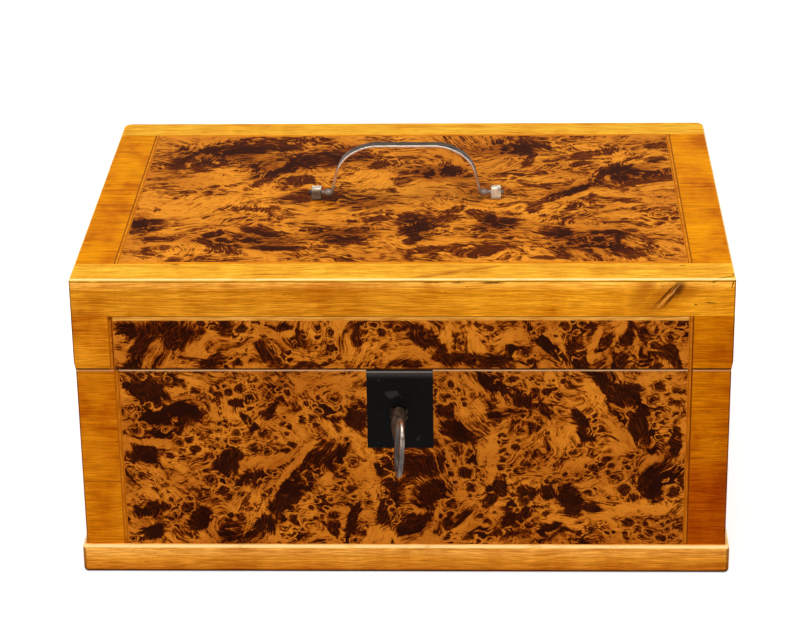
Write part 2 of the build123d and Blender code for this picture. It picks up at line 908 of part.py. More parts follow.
with BuildPart() as handle_bail:
    with BuildSketch(Plane.XZ.offset(handle_forward)):
        with BuildLine():
            FilletPolyline(
                (handle_shift - bail_foot_x - bail_foot_reach, pivot_z),
                (handle_shift - bail_foot_x, pivot_z),
                (handle_shift - bail_shoulder_x, pivot_z + bail_shoulder_rise),
                (handle_shift - bail_crown_x, pivot_z + bail_rise),
                (handle_shift + bail_crown_x, pivot_z + bail_rise),
                (handle_shift + bail_shoulder_x, pivot_z + bail_shoulder_rise),
                (handle_shift + bail_foot_x, pivot_z),
                (handle_shift + bail_foot_x + bail_foot_reach, pivot_z),
                radius=(
                    bail_foot_radius,
                    bail_shoulder_radius,
                    bail_crown_radius,
                    bail_crown_radius,
                    bail_shoulder_radius,
                    bail_foot_radius,
                ),
            )
        trace(line_width=bail_thickness)
    extrude(amount=bail_width / 2, both=True)
    with BuildSketch(Plane.YZ.offset(-handle_spacing)):
        Polygon(
            (handle_y - bail_foot_width / 2, pivot_z - bail_thickness),
            (handle_y + bail_foot_width / 2, pivot_z - bail_thickness),
            (handle_y + bail_width / 2, pivot_z + bail_rise / 2),
            (handle_y + bail_width / 2, pivot_z + 2 * bail_rise),
            (handle_y - bail_width / 2, pivot_z + 2 * bail_rise),
            (handle_y - bail_width / 2, pivot_z + bail_rise / 2),
            align=None,
        )
    extrude(amount=2 * handle_spacing, mode=Mode.INTERSECT)
    for way in (-1, 1):
        inner = bail_foot_x + bail_foot_reach / 2
        outer = handle_spacing / 2 + post_width / 2 + handle_pin_end
        middle = handle_shift + way * (inner + outer) / 2
        rod((middle, handle_y, pivot_z), handle_pin_radius, outer - inner)
finish(handle_bail, "handle_bail")

nut_top = rim_top - washer_thickness
post_end = nut_top - nut_thickness - post_tail
for side, x in zip(("left", "right"), post_x):
    with BuildPart() as handle_post:
        block(around(x, post_width), around(handle_y, post_depth), (overall_height, overall_height + post_height))
        crown_edges = handle_post.faces().sort_by(Axis.Z)[-1].edges().filter_by(Axis.X)
        fillet(crown_edges, min(post_round, half_edge_share * post_depth))
        with Locations((x, handle_y, (post_end + overall_height) / 2)):
            Cylinder(post_shank_radius, overall_height - post_end)
        rod((x, handle_y, pivot_z), handle_pin_radius + pin_clearance, 2 * post_width, mode=Mode.SUBTRACT)
    finish(handle_post, f"handle_post_{side}")

with BuildPart() as handle_post_washers:
    with Locations(*[(x, handle_y, rim_top - washer_thickness / 2) for x in post_x]):
        Cylinder(washer_radius, washer_thickness)
        Cylinder(post_hole_radius, washer_thickness, mode=Mode.SUBTRACT)
finish(handle_post_washers, "handle_post_washers")

with BuildPart() as handle_post_nuts:
    with Locations(*[(x, handle_y, nut_top - nut_thickness / 2) for x in post_x]):
        Box(nut_width, nut_width, nut_thickness)
        Cylinder(post_shank_radius, nut_thickness, mode=Mode.SUBTRACT)
finish(handle_post_nuts, "handle_post_nuts")
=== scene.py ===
from contextlib import contextmanager
from functools import partial, reduce
from math import atan2, ceil, copysign, cos, pi, radians, sin, tan

import bmesh
import bpy
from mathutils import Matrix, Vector


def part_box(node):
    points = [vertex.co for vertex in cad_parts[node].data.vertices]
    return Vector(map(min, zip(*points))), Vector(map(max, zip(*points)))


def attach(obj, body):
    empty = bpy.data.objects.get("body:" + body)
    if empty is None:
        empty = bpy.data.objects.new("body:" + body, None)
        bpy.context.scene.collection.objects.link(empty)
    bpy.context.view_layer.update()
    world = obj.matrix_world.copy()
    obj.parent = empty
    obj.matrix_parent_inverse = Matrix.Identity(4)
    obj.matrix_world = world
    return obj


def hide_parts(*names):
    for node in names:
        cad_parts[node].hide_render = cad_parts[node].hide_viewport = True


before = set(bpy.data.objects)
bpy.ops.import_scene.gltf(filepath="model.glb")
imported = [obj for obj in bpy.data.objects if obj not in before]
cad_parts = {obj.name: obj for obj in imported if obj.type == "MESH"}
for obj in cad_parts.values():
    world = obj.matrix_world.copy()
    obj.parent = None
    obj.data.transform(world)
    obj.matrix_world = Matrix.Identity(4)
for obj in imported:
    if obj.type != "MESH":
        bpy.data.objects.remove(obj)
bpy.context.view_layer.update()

# The finish of a veneered ditty box: burl panels framed by straight-grained bands and fine
# stringing, a moulded plinth, a steel drop handle, and a box lock with its key.
# Sizes are in millimetres, written as metres through MM where Blender needs them.

bl_info = {
    "name": "Ditty Box Finish",
    "version": (1, 0, 0),
    "blender": (4, 5, 0),
    "location": "3D View > Sidebar > Ditty Box",
    "description": "Builds the metalwork, the polished woods and the stage of a ditty box",
    "category": "Object",
}

MM = 0.001
AXIS_INDEX = {"X": 0, "Y": 1, "Z": 2}


def paint(red, green, blue):
    """A colour given as the eye sees it, 0 to 255, as the linear values that the shaders use."""
    parts = [part / 255 for part in (red, green, blue)]
    linear = [part / 12.92 if part <= 0.04045 else ((part + 0.055) / 1.055) ** 2.4 for part in parts]
    return (*linear, 1.0)


def tinted(colour, *shares):
    """A colour with its red, green and blue each taken in its own share, up to full."""
    return (*(min(1.0, part * share) for part, share in zip(colour, shares)), 1.0)


def node_span(node):
    """The limits of a CAD node on X, Y and Z, in millimetres."""
    low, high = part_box(node)
    return [(a / MM, b / MM) for a, b in zip(low, high)]


# ---- the figure of the burl: a mark is (across, up, half length, half width, turn), in mm and degrees ----

CASE_FIGURE = (
    (-120, 96, 12, 6, -35), (-105, 98, 6, 3, -20), (-107, 81, 16, 6, 5), (-118, 71, 11, 3, 0),
    (-120, 60, 9, 5, 10), (-83, 55, 10, 6, 60), (-69, 49, 7, 4, 20), (-56, 38, 32, 6, 52),
    (-21, 80, 5, 8, 0), (-34, 82, 6, 4, 0), (-31, 60, 8, 4, 50), (-36, 31, 12, 3, -70), (-24, 25, 11, 3, 80),
    (-110, 32, 10, 5, 10), (-119, 20, 6, 4, 15), (-95, 27, 7, 4, 60), (-81, 20, 5, 4, 0),
    (-70, 76, 7, 2, -55), (-61, 83, 6, 3, 50), (-76, 87, 4, 2, -10), (52, 91, 20, 4, -30),
    (98, 87, 20, 6, -60), (111, 70, 10, 5, -50), (125, 68, 3, 8, 0), (82, 75, 9, 3, -70),
    (118, 46, 11, 8, 15), (53, 31, 14, 5, 65), (67, 41, 5, 3, -15), (77, 37, 6, 8, 20), (63, 22, 9, 2, 20),
    (22, 26, 10, 3, 35), (19, 84, 5, 5, 0), (24, 73, 10, 4, -35), (31, 51, 8, 3, 85), (42, 41, 8, 4, 65),
    (87, 33, 4, 3, 0), (107, 83, 4, 15, 15), (2, 55, 14, 8, 8), (-7, 36, 14, 6, 84), (13, 40, 9, 6, 24),
    (4, 24, 8, 5, 30),
)
CASE_EYES = (
    (-77, 95, 9, 6, 0), (-58, 94, 14, 6, 0), (-55, 78, 5, 5, 0), (-64, 66, 11, 7, 0), (-81, 70, 8, 5, 0),
    (-45, 83, 5, 9, 0), (-33, 88, 8, 8, 0), (-43, 32, 11, 8, 0), (-27, 56, 7, 5, 0), (-99, 63, 11, 4, -10),
    (-85, 44, 8, 7, 0), (-87, 30, 9, 5, 0), (-108, 70, 9, 4, 0), (-106, 33, 8, 5, 0), (-54, 20, 12, 4, 0),
    (20, 93, 7, 6, 0), (25, 56, 7, 12, 0), (50, 68, 8, 8, 70), (58, 96, 11, 4, 0), (117, 88, 8, 15, 0),
    (66, 51, 15, 5, 0), (95, 53, 13, 9, 0), (79, 62, 9, 5, 0), (89, 76, 5, 6, 0), (123, 43, 7, 8, 0),
    (20, 33, 9, 7, 0), (39, 30, 7, 5, 0), (101, 23, 23, 6, 0), (50, 36, 8, 5, 0), (-26, 40, 6, 6, 0),
)
CASE_VEINS = (
    (-50, 56, 15, 2, 55), (-67, 31, 16, 2, 55), (-15, 49, 15, 2, -85), (-114, 67, 12, 2, -5),
    (102, 33, 12, 2, 20), (41, 60, 13, 2, 90), (89, 90, 9, 3, -55), (100, 73, 11, 3, -60),
)
LID_FIGURE = (
    (-124, 123, 5, 4, -15), (-118, 116, 14, 5, 65), (-103, 122, 9, 6, -5), (-80, 125, 5, 4, -20),
    (-59, 111, 8, 4, -45), (-54, 125, 5, 2, 0), (-32, 113, 5, 2, -85), (-20, 122, 5, 4, 80),
    (-84, 108, 10, 3, 10), (-40, 107, 7, 2, 5), (-47, 120, 5, 3, 40), (12, 119, 13, 4, -45),
    (32, 109, 19, 3, -5), (66, 116, 14, 2, -45), (79, 112, 10, 4, -65), (92, 117, 7, 2, 40),
    (100, 115, 12, 3, 75), (111, 119, 12, 3, -50), (121, 112, 10, 3, -60), (126, 124, 4, 4, 0),
    (82, 124, 6, 4, 0), (4, 107, 8, 2, 0), (54, 111, 8, 3, -30),
)
LID_EYES = (
    (-73, 119, 5, 6, 0), (-67, 124, 8, 4, 0), (-41, 120, 8, 5, 0), (-15, 123, 5, 5, 0), (-71, 109, 7, 3, 0),
    (43, 122, 8, 5, 0), (78, 123, 12, 5, 0), (121, 122, 7, 6, 0), (54, 111, 10, 5, 0), (25, 118, 7, 4, 0),
)
LID_VEINS = ((87, 117, 9, 2, 75), (15, 116, 10, 2, 50), (-60, 123, 14, 2, -5))
TOP_FIGURE = (
    (-109, 44, 15, 9, -5), (-83, 70, 25, 10, 15), (-62, 74, 11, 10, 0), (-64, 33, 24, 4, 60),
    (-119, -20, 4, 3, 0), (-121, -38, 8, 6, -25), (-70, -19, 16, 3, 0), (-86, -66, 14, 3, -40),
    (-58, -69, 18, 3, -5), (-90, -51, 6, 3, 55), (-115, -72, 5, 6, 0), (-53, 22, 7, 6, 40),
    (-53, -1, 7, 7, 0), (-68, -48, 8, 4, -25), (-44, 51, 13, 12, -15), (-23, -1, 9, 3, -15),
    (-34, -1, 8, 5, 0), (-15, 42, 5, 7, -25), (-5, 50, 8, 5, 15), (9, 30, 3, 6, 0), (21, 34, 7, 6, 70),
    (-4, 20, 4, 7, 0), (-18, -33, 11, 3, 10), (4, -29, 9, 7, 0), (10, -40, 15, 6, 45), (22, -20, 7, 4, 35),
    (36, -28, 9, 5, -60), (-27, -60, 10, 4, 0), (4, -56, 8, 4, 80), (15, -70, 15, 4, 20),
    (27, -74, 8, 3, -45), (38, -70, 11, 6, 25), (57, 75, 13, 10, 15), (53, 65, 8, 6, -50),
    (59, 46, 12, 3, 75), (125, 68, 6, 6, 50), (89, 57, 19, 4, 25), (100, 35, 30, 4, 50), (74, 0, 22, 4, 45),
    (121, 50, 9, 4, 0), (61, -16, 4, 8, 0), (85, -9, 12, 4, 60), (104, -6, 10, 4, -20), (116, 19, 15, 4, 25),
    (123, 31, 9, 3, 35), (104, 21, 8, 6, -50), (70, -47, 7, 7, -15), (96, -52, 9, 5, -15),
    (92, -65, 10, 4, 0), (103, -75, 10, 6, 0), (123, -23, 7, 3, 0), (122, -33, 7, 3, 0), (48, -39, 5, 8, 0),
    (68, -80, 9, 3, 0), (84, 43, 6, 4, 25),
)
TOP_EYES = (
    (14, 50, 5, 8, 0), (5, 36, 8, 12, 0), (16, 1, 5, 6, 0), (29, -47, 13, 13, 0), (72, -19, 5, 7, 0),
    (54, -2, 7, 7, 0), (98, -18, 8, 7, 0), (49, -44, 7, 10, 0), (92, -59, 9, 8, 0), (90, 76, 17, 10, 0),
    (69, 46, 8, 11, 0), (-80, -59, 11, 8, 0), (-57, -38, 10, 12, 0), (-72, -32, 5, 7, 0),
)
TOP_VEINS = (
    (70, 2, 14, 3, 50), (89, 23, 15, 3, 50), (114, 48, 20, 3, 40), (80, -3, 10, 3, 35),
    (108, -5, 21, 3, -20), (-104, -16, 21, 9, 30), (-99, 18, 16, 5, 10),
)
TOP_SMOKE = (
    (-92, 58, 36, 17, 4), (-66, 46, 27, 22, 20), (-30, 58, 14, 20, 30), (-66, -59, 31, 12, -6),
    (6, -45, 9, 20, 10), (43, -38, 12, 18, -20), (110, 33, 24, 12, 30), (86, -60, 26, 17, 0),
    (-22, -11, 20, 10, 5), (-126, -36, 9, 21, 10), (48, 64, 28, 13, 0), (80, 8, 26, 8, 30),
    (14, 30, 30, 14, -10), (-30, -50, 24, 12, 5), (40, 5, 18, 10, 0),
)

# ---- marks on the straight-grained woods: knots and streaks, soft shading and pale lines ----

RAIL_MARKS = {
    "dark": ((118.8, 141.3, 7.6, 0.6, 49), (121.3, 139.8, 6.8, 0.6, 51), (124.0, 143.8, 4.2, 2.6, 60),
             (140.4, 147.5, 1.5, 0.6, 30), (148.4, 146.2, 2.2, 0.4, 80), (145.0, 148.0, 4.6, 0.3, 0),
             (132.2, 136.2, 0.6, 0.4, 0), (138.6, 137.0, 2.4, 0.3, -5), (-77.0, 147.4, 2.0, 0.4, 0),
             (14.0, 147.4, 4.6, 0.9, 0), (25.5, 147.4, 3.0, 0.8, 0), (41.0, 147.3, 5.2, 1.0, 0)),
    "soft": ((116.5, 138.8, 14.0, 6.0, 44), (119.6, 140.6, 8.6, 1.6, 49), (109.0, 142.6, 9.0, 4.4, 55),
             (127.0, 142.6, 6.4, 3.8, 0), (121.6, 142.0, 7.0, 2.6, 50)),
    "pale": ((120.1, 140.5, 8.0, 0.3, 49),),
}
TOP_BAND_MARKS = {
    "dark": ((-103.6, -88.3, 1.8, 0.5, 0), (127.0, -90.5, 1.6, 0.4, 10), (145.4, -104.2, 4.6, 0.5, 22),
             (149.2, -100.6, 2.6, 0.4, 72), (22.0, -98.4, 1.8, 0.3, 18), (30.0, -99.0, 1.2, 0.25, 0)),
    "soft": ((22.0, -98.6, 8.0, 2.4, 26), (12.0, -102.4, 7.0, 2.2, 14), (36.0, -94.0, 9.0, 1.6, 20),
             (-60.0, -100.5, 16.0, 0.6, 2)),
}
CORNER_SPOT = {"dark": ((-132.4, 129.5, 0.9, 1.3, 0),)}
MARK_LOOKS = (  # kind, depths at which it begins and is full, strength, colour
    ("soft", -0.5, 0.8, 0.55, paint(150, 66, 8)),
    ("dark", -0.5, 0.7, 0.90, paint(84, 34, 8)),
    ("pale", -0.4, 0.4, 0.55, paint(244, 176, 96)),
)


# ---- modelling ----

def alone():
    """Leave edit mode and select nothing, so that the next operator acts only on what it adds."""
    if bpy.context.object and bpy.context.object.mode != "OBJECT":
        bpy.ops.object.mode_set(mode="OBJECT")
    bpy.ops.object.select_all(action="DESELECT")


def pick(*pieces):
    """Select these pieces, the first one as the active one."""
    alone()
    for piece in pieces:
        piece.select_set(True)
    bpy.context.view_layer.objects.active = pieces[0]


@contextmanager
def editing(kind="mesh"):
    """Edit mode, with everything selected at its start."""
    bpy.ops.object.mode_set(mode="EDIT")
    getattr(bpy.ops, kind).select_all(action="SELECT")
    yield
    bpy.ops.object.mode_set(mode="OBJECT")


def set_down(piece):
    """Put the place, turn and scale of a piece into its mesh."""
    pick(piece)
    bpy.ops.object.transform_apply(location=True, rotation=True, scale=True)
    return piece


def pick_faces(piece, test):
    """In edit mode, select only the faces whose middle and normal pass a test."""
    bpy.ops.mesh.select_all(action="DESELECT")
    mesh = bmesh.from_edit_mesh(piece.data)
    for face in mesh.faces:
        if test(face.calc_center_median(), face.normal):
            face.select_set(True)
    mesh.select_flush(True)
    bmesh.update_edit_mesh(piece.data)


def pull(*move):
    """Extrude the selection by a move."""
    bpy.ops.mesh.extrude_region_move(TRANSFORM_OT_translate={"value": [part * MM for part in move]})


def apply(piece, kind, **settings):
    """Give a piece a modifier and apply it."""
    pick(piece)
    modifier = piece.modifiers.new(kind.title(), kind)
    for name, value in settings.items():
        setattr(modifier, name, value)
    bpy.ops.object.modifier_apply(modifier=modifier.name)


def cylinder(radius, start, end, middle, vertices=32):
    """A cylinder from start to end along the axis that middle leaves as None, round its other two numbers."""
    axis = middle.index(None)
    place = [(start + end) / 2 if index == axis else value for index, value in enumerate(middle)]
    turn = ((0, pi / 2, 0), (pi / 2, 0, 0), (0, 0, 0))[axis]
    alone()
    bpy.ops.mesh.primitive_cylinder_add(
        vertices=vertices, radius=radius * MM, depth=abs(end - start) * MM,
        location=[part * MM for part in place], rotation=turn,
    )
    return set_down(bpy.context.object)


def ball(half_sizes, middle):
    """A ball with its own half size on each axis."""
    alone()
    bpy.ops.mesh.primitive_uv_sphere_add(segments=24, ring_count=14, radius=MM)
    return stretched_out(half_sizes, middle)


def block(sizes, middle):
    """A block with its own size on each axis."""
    alone()
    bpy.ops.mesh.primitive_cube_add(size=MM, location=(0, 0, 0))
    return stretched_out(sizes, middle)


def stretched_out(sizes, middle):
    """The new piece of unit size, brought to its sizes and its place."""
    with editing():
        bpy.ops.transform.resize(value=sizes)
        bpy.ops.transform.translate(value=[part * MM for part in middle])
    return bpy.context.object


def forged(pieces, name, voxel, dents, dent_size):
    """Weld pieces into one, as a smith does, with the softened edges and shallow dents of hammer work."""
    pick(*pieces)
    bpy.ops.object.join()
    piece = bpy.context.object
    piece.name = piece.data.name = name
    apply(piece, "REMESH", mode="VOXEL", voxel_size=voxel * MM)
    apply(piece, "SMOOTH", factor=0.5, iterations=4)
    clouds = bpy.data.textures.new(name + " dents", "CLOUDS")
    clouds.noise_scale = dent_size * MM
    apply(piece, "DISPLACE", texture=clouds, texture_coords="LOCAL", strength=dents * MM, mid_level=0.5)
    bpy.ops.object.shade_smooth()
    return piece


# ---- user settings ----

def length(label, value, note):
    """A length that the user can set."""
    return bpy.props.FloatProperty(name=label, description=note, default=value, unit="LENGTH")


def colour(label, value, note):
    """A colour that the user can set."""
    return bpy.props.FloatVectorProperty(
        name=label, description=note, default=value, size=4, min=0, max=1, subtype="COLOR"
    )


class DittyBoxSizes(bpy.types.PropertyGroup):
    bail_thickness: length("Bail thickness", 1.2 * MM, "Thickness of the steel strip of the handle")
    bail_width: length("Bail width", 5.7 * MM, "Width of the strip at the crown of the handle")
    bail_foot_width: length("Bail foot width", 3.6 * MM, "Width of the strip just above its pins")
    bow_bar: length("Key bow bar", 3.0 * MM, "Thickness of the ring of the key")
    shank_radius: length("Key shank radius", 3.35 * MM, "Radius of the stem of the key")
    lamp_height: length("Lamp height", 1.5, "Height of the softbox over the floor")


class DittyBoxColours(bpy.types.PropertyGroup):
    ground: colour("Burl ground", paint(212, 126, 34), "Clear wood between the marks of the burl")
    top_ground: colour("Top burl ground", paint(236, 150, 40), "Clear wood of the burl on top of the lid")
    figure: colour("Burl figure", paint(26, 9, 4), "Darkest marks of the burl")
    band: colour("Bands", paint(255, 186, 50), "Straight-grained bands along the lid's front and back")
    side_band: colour("Side bands", paint(238, 148, 0), "Straight-grained bands at the lid's sides")
    rail: colour("Rail", paint(234, 152, 30), "Rail along the front of the lid")
    right_stile: colour("Right stiles", paint(209, 118, 4), "Deeper stiles on the right of the front")
    stile: colour("Stiles", paint(218, 127, 11), "Straight-grained stiles of the front and sides")
    string: colour("Stringing", paint(236, 166, 66), "Fine light lines round the lid's front panel")
    top_string: colour("Top stringing", paint(236, 146, 20), "Fine lines round the panel on top of the lid")
    dull_string: colour("Dull stringing", paint(204, 116, 20), "Fine lines at the front panels' sides")
    lid_stile: colour("Lid stile", paint(233, 145, 24), "Stile on the left of the lid's front")
    plinth: colour("Plinth", paint(242, 160, 48), "Moulding round the foot")
    carcase: colour("Carcase", paint(196, 148, 96), "Bare boards of the inside and the back")
    steel: colour("Steel", paint(134, 115, 96), "Worn steel of the handle, the screws and the nuts")
    iron: colour("Iron", paint(206, 190, 174), "Key, lock and strike plate")
    black: colour("Escutcheon", paint(8, 7, 6), "Black plate round the keyhole")
    brass: colour("Brass", paint(178, 142, 78), "Hinges")


# ---- wiring of materials ----

COLUMN = 190
ROWS = 7
MARK_SPREAD = 1.6
STEEP = 56
LINE_STRENGTH = 0.85


class Bench:
    """A node tree being wired. Each method adds a node and gives back its output."""

    def __init__(self, tree):
        self.tree = tree
        self.count = 0

    def add(self, kind, **settings):
        node = self.tree.nodes.new("ShaderNode" + kind)
        node.location = (self.count // ROWS * COLUMN, -self.count % ROWS * COLUMN)
        self.count += 1
        for name, value in settings.items():
            setattr(node, name, value)
        return node

    def feed(self, socket, value):
        if isinstance(value, bpy.types.NodeSocket):
            self.tree.links.new(value, socket)
        else:
            socket.default_value = value

    def feed_all(self, node, values):
        for name, value in values.items():
            self.feed(node.inputs[name], value)
        return node

    def math(self, operation, *values, clamp=False):
        node = self.add("Math", operation=operation, use_clamp=clamp)
        for socket, value in zip(node.inputs, values):
            self.feed(socket, value)
        return node.outputs[0]

    def total(self, *values):
        return reduce(partial(self.math, "ADD"), values)

    def times(self, *values):
        return reduce(partial(self.math, "MULTIPLY"), values)

    def most(self, *values):
        return reduce(partial(self.math, "MAXIMUM"), values)

    def gap(self, value, at):
        """How far a value lies from a level, on either side of it."""
        return self.math("ABSOLUTE", self.math("SUBTRACT", value, at))

    def share(self, value, amount, middle=0.5):
        """A value that swings about its middle, scaled to swing about zero."""
        return self.times(self.math("SUBTRACT", value, middle), amount)

    def vector(self, operation, *values):
        node = self.add("VectorMath", operation=operation)
        for socket, value in zip(node.inputs, values):
            self.feed(socket, value)
        return node.outputs[0]

    def stretched(self, place, size):
        """A place measured in grains of that size along each axis; a third size may be left out."""
        return self.vector("DIVIDE", place, (*size, 1)[:3])

    def noise(self, place, size, detail=2.0, roughness=0.5, distortion=0.0, output="Fac"):
        """Noise in grains of a size: flat where the size has two numbers, solid where it has three."""
        node = self.add("TexNoise", noise_dimensions=f"{len(size)}D")
        self.feed_all(node, {
            "Vector": self.stretched(place, size), "Scale": 1.0, "Detail": detail,
            "Roughness": roughness, "Distortion": distortion,
        })
        return node.outputs[output]

    def cells(self, place, size):
        """The distance to the middle of the nearest cell, in sizes of a cell, and that cell's own colour."""
        node = self.add("TexVoronoi", voronoi_dimensions="2D")
        self.feed_all(node, {"Vector": self.stretched(place, size), "Scale": 1.0})
        return node.outputs["Distance"], node.outputs["Color"]

    def between(self, value, low, high, to_low=0.0, to_high=1.0):
        """A smooth step from one level to another as a value passes from low to high."""
        node = self.add("MapRange", interpolation_type="SMOOTHSTEP")
        for socket, number in zip(node.inputs, (value, low, high, to_low, to_high)):
            self.feed(socket, number)
        return node.outputs[0]

    def moved(self, place, pattern, reach, axes=(1, 1, 0)):
        """A place pushed about by a coloured pattern."""
        centred = self.vector("SUBTRACT", pattern, (0.5, 0.5, 0.5))
        push = self.vector("MULTIPLY", centred, [2 * reach * axis for axis in axes])
        return self.vector("ADD", place, push)

    def mix(self, factor, first, second, blend="MIX"):
        node = self.add("Mix", data_type="RGBA", blend_type=blend)
        for index, value in ((0, factor), (6, first), (7, second)):
            self.feed(node.inputs[index], value)
        return node.outputs[2]

    def ramp(self, factor, *stops):
        node = self.add("ValToRGB")
        self.feed(node.inputs[0], factor)
        elements = node.color_ramp.elements
        for index, (position, tint) in enumerate(stops):
            element = elements[index] if index < 2 else elements.new(position)
            element.position = position
            element.color = tint
        return node.outputs[0]

    def parts(self, vector):
        node = self.add("SeparateXYZ")
        self.feed(node.inputs[0], vector)
        return node.outputs

    def along(self, vector, axis):
        """One part of a vector."""
        return self.parts(vector)[AXIS_INDEX[axis]]

    def turned(self, place, order):
        """A place with its axes in another order, such as XZY for the front; with two axes it lies flat."""
        parts = self.parts(place)
        return self.joined(*[parts[AXIS_INDEX[letter]] for letter in order])

    def joined(self, x, y, z=0.0):
        node = self.add("CombineXYZ")
        for socket, value in zip(node.inputs, (x, y, z)):
            self.feed(socket, value)
        return node.outputs[0]

    def group(self, name, **values):
        """The outputs of a shared node group, which is built the first time that it is asked for."""
        tree = bpy.data.node_groups.get(name) or GROUP_MAKERS[name]()
        return self.feed_all(self.add("Group", node_tree=tree), values).outputs

    def wear_and_edge_light(self, place):
        """Rubbed arrises of a piece, with painted highlight and painted shade, and marks that handling left.
        """
        return self.group("Arris", Facing=self.facing(), Place=place), self.group("Handling", Place=place)

    def place(self):
        """The place on the object, in millimetres."""
        return self.vector("MULTIPLY", self.add("TexCoord").outputs["Object"], (1 / MM,) * 3)

    def facing(self):
        """The direction that the surface faces, in the object's own frame."""
        return self.add("TexCoord").outputs["Normal"]

    def blend(self, factor, first, second):
        """One value passing into another."""
        node = self.add("Mix", data_type="FLOAT")
        for index, value in ((0, factor), (2, first), (3, second)):
            self.feed(node.inputs[index], value)
        return node.outputs[0]

    def streaks(self, place, size, rising, falling, **settings):
        """Streaks that run level, uphill where rising is 1 and downhill where falling is 1."""
        level, uphill, downhill = (
            self.noise(self.spun(place, angle) if angle else place, size, **settings)
            for angle in (0, -STEEP, STEEP)
        )
        return self.blend(falling, self.blend(rising, level, uphill), downhill)

    def spun(self, place, angle):
        """A place turned in its own plane, by degrees."""
        node = self.add("VectorRotate", rotation_type="Z_AXIS")
        self.feed_all(node, {"Vector": place, "Angle": radians(angle)})
        return node.outputs[0]

    def lines(self, colour, place, lines):
        """A colour crossed by thin lines, each (axis, place, half width, colour) in millimetres."""
        for axis, at, half_width, tint in lines:
            away = self.gap(self.along(place, axis), at)
            drawn = self.between(away, half_width / 2, half_width, LINE_STRENGTH, 0.0)
            colour = self.mix(drawn, colour, tint)
        return colour

    def marks(self, place, marks):
        """How deep a place lies in a few oval marks: 1 at a middle, 0 at a rim, down to 1 - MARK_SPREAD."""
        deepest = 0.0
        for across, up, long, wide, turn in marks:
            mapping = self.add("Mapping", vector_type="TEXTURE")
            self.feed_all(mapping, {
                "Vector": place, "Location": (across, up, 0), "Rotation": (0, 0, radians(turn)),
                "Scale": (long * MARK_SPREAD, wide * MARK_SPREAD, 1),
            })
            ball = self.add("TexGradient", gradient_type="SPHERICAL")
            self.feed(ball.inputs["Vector"], mapping.outputs[0])
            deepest = self.most(deepest, ball.outputs["Fac"])
        return self.math("MULTIPLY_ADD", deepest, MARK_SPREAD, 1 - MARK_SPREAD)


def new_group(name, places, levels, outputs):
    """A node group with its sockets. Gives it, its bench, what comes in and the node that ends it."""
    tree = bpy.data.node_groups.new(name, "ShaderNodeTree")
    for labels, way, kind in (
        (places, "INPUT", "Vector"), (levels, "INPUT", "Float"), (outputs, "OUTPUT", "Float"),
    ):
        for label in labels:
            tree.interface.new_socket(name=label, in_out=way, socket_type="NodeSocket" + kind)
    enter = tree.nodes.new("NodeGroupInput")
    enter.location = (-COLUMN, 0)
    leave = tree.nodes.new("NodeGroupOutput")
    return tree, Bench(tree), enter.outputs, leave


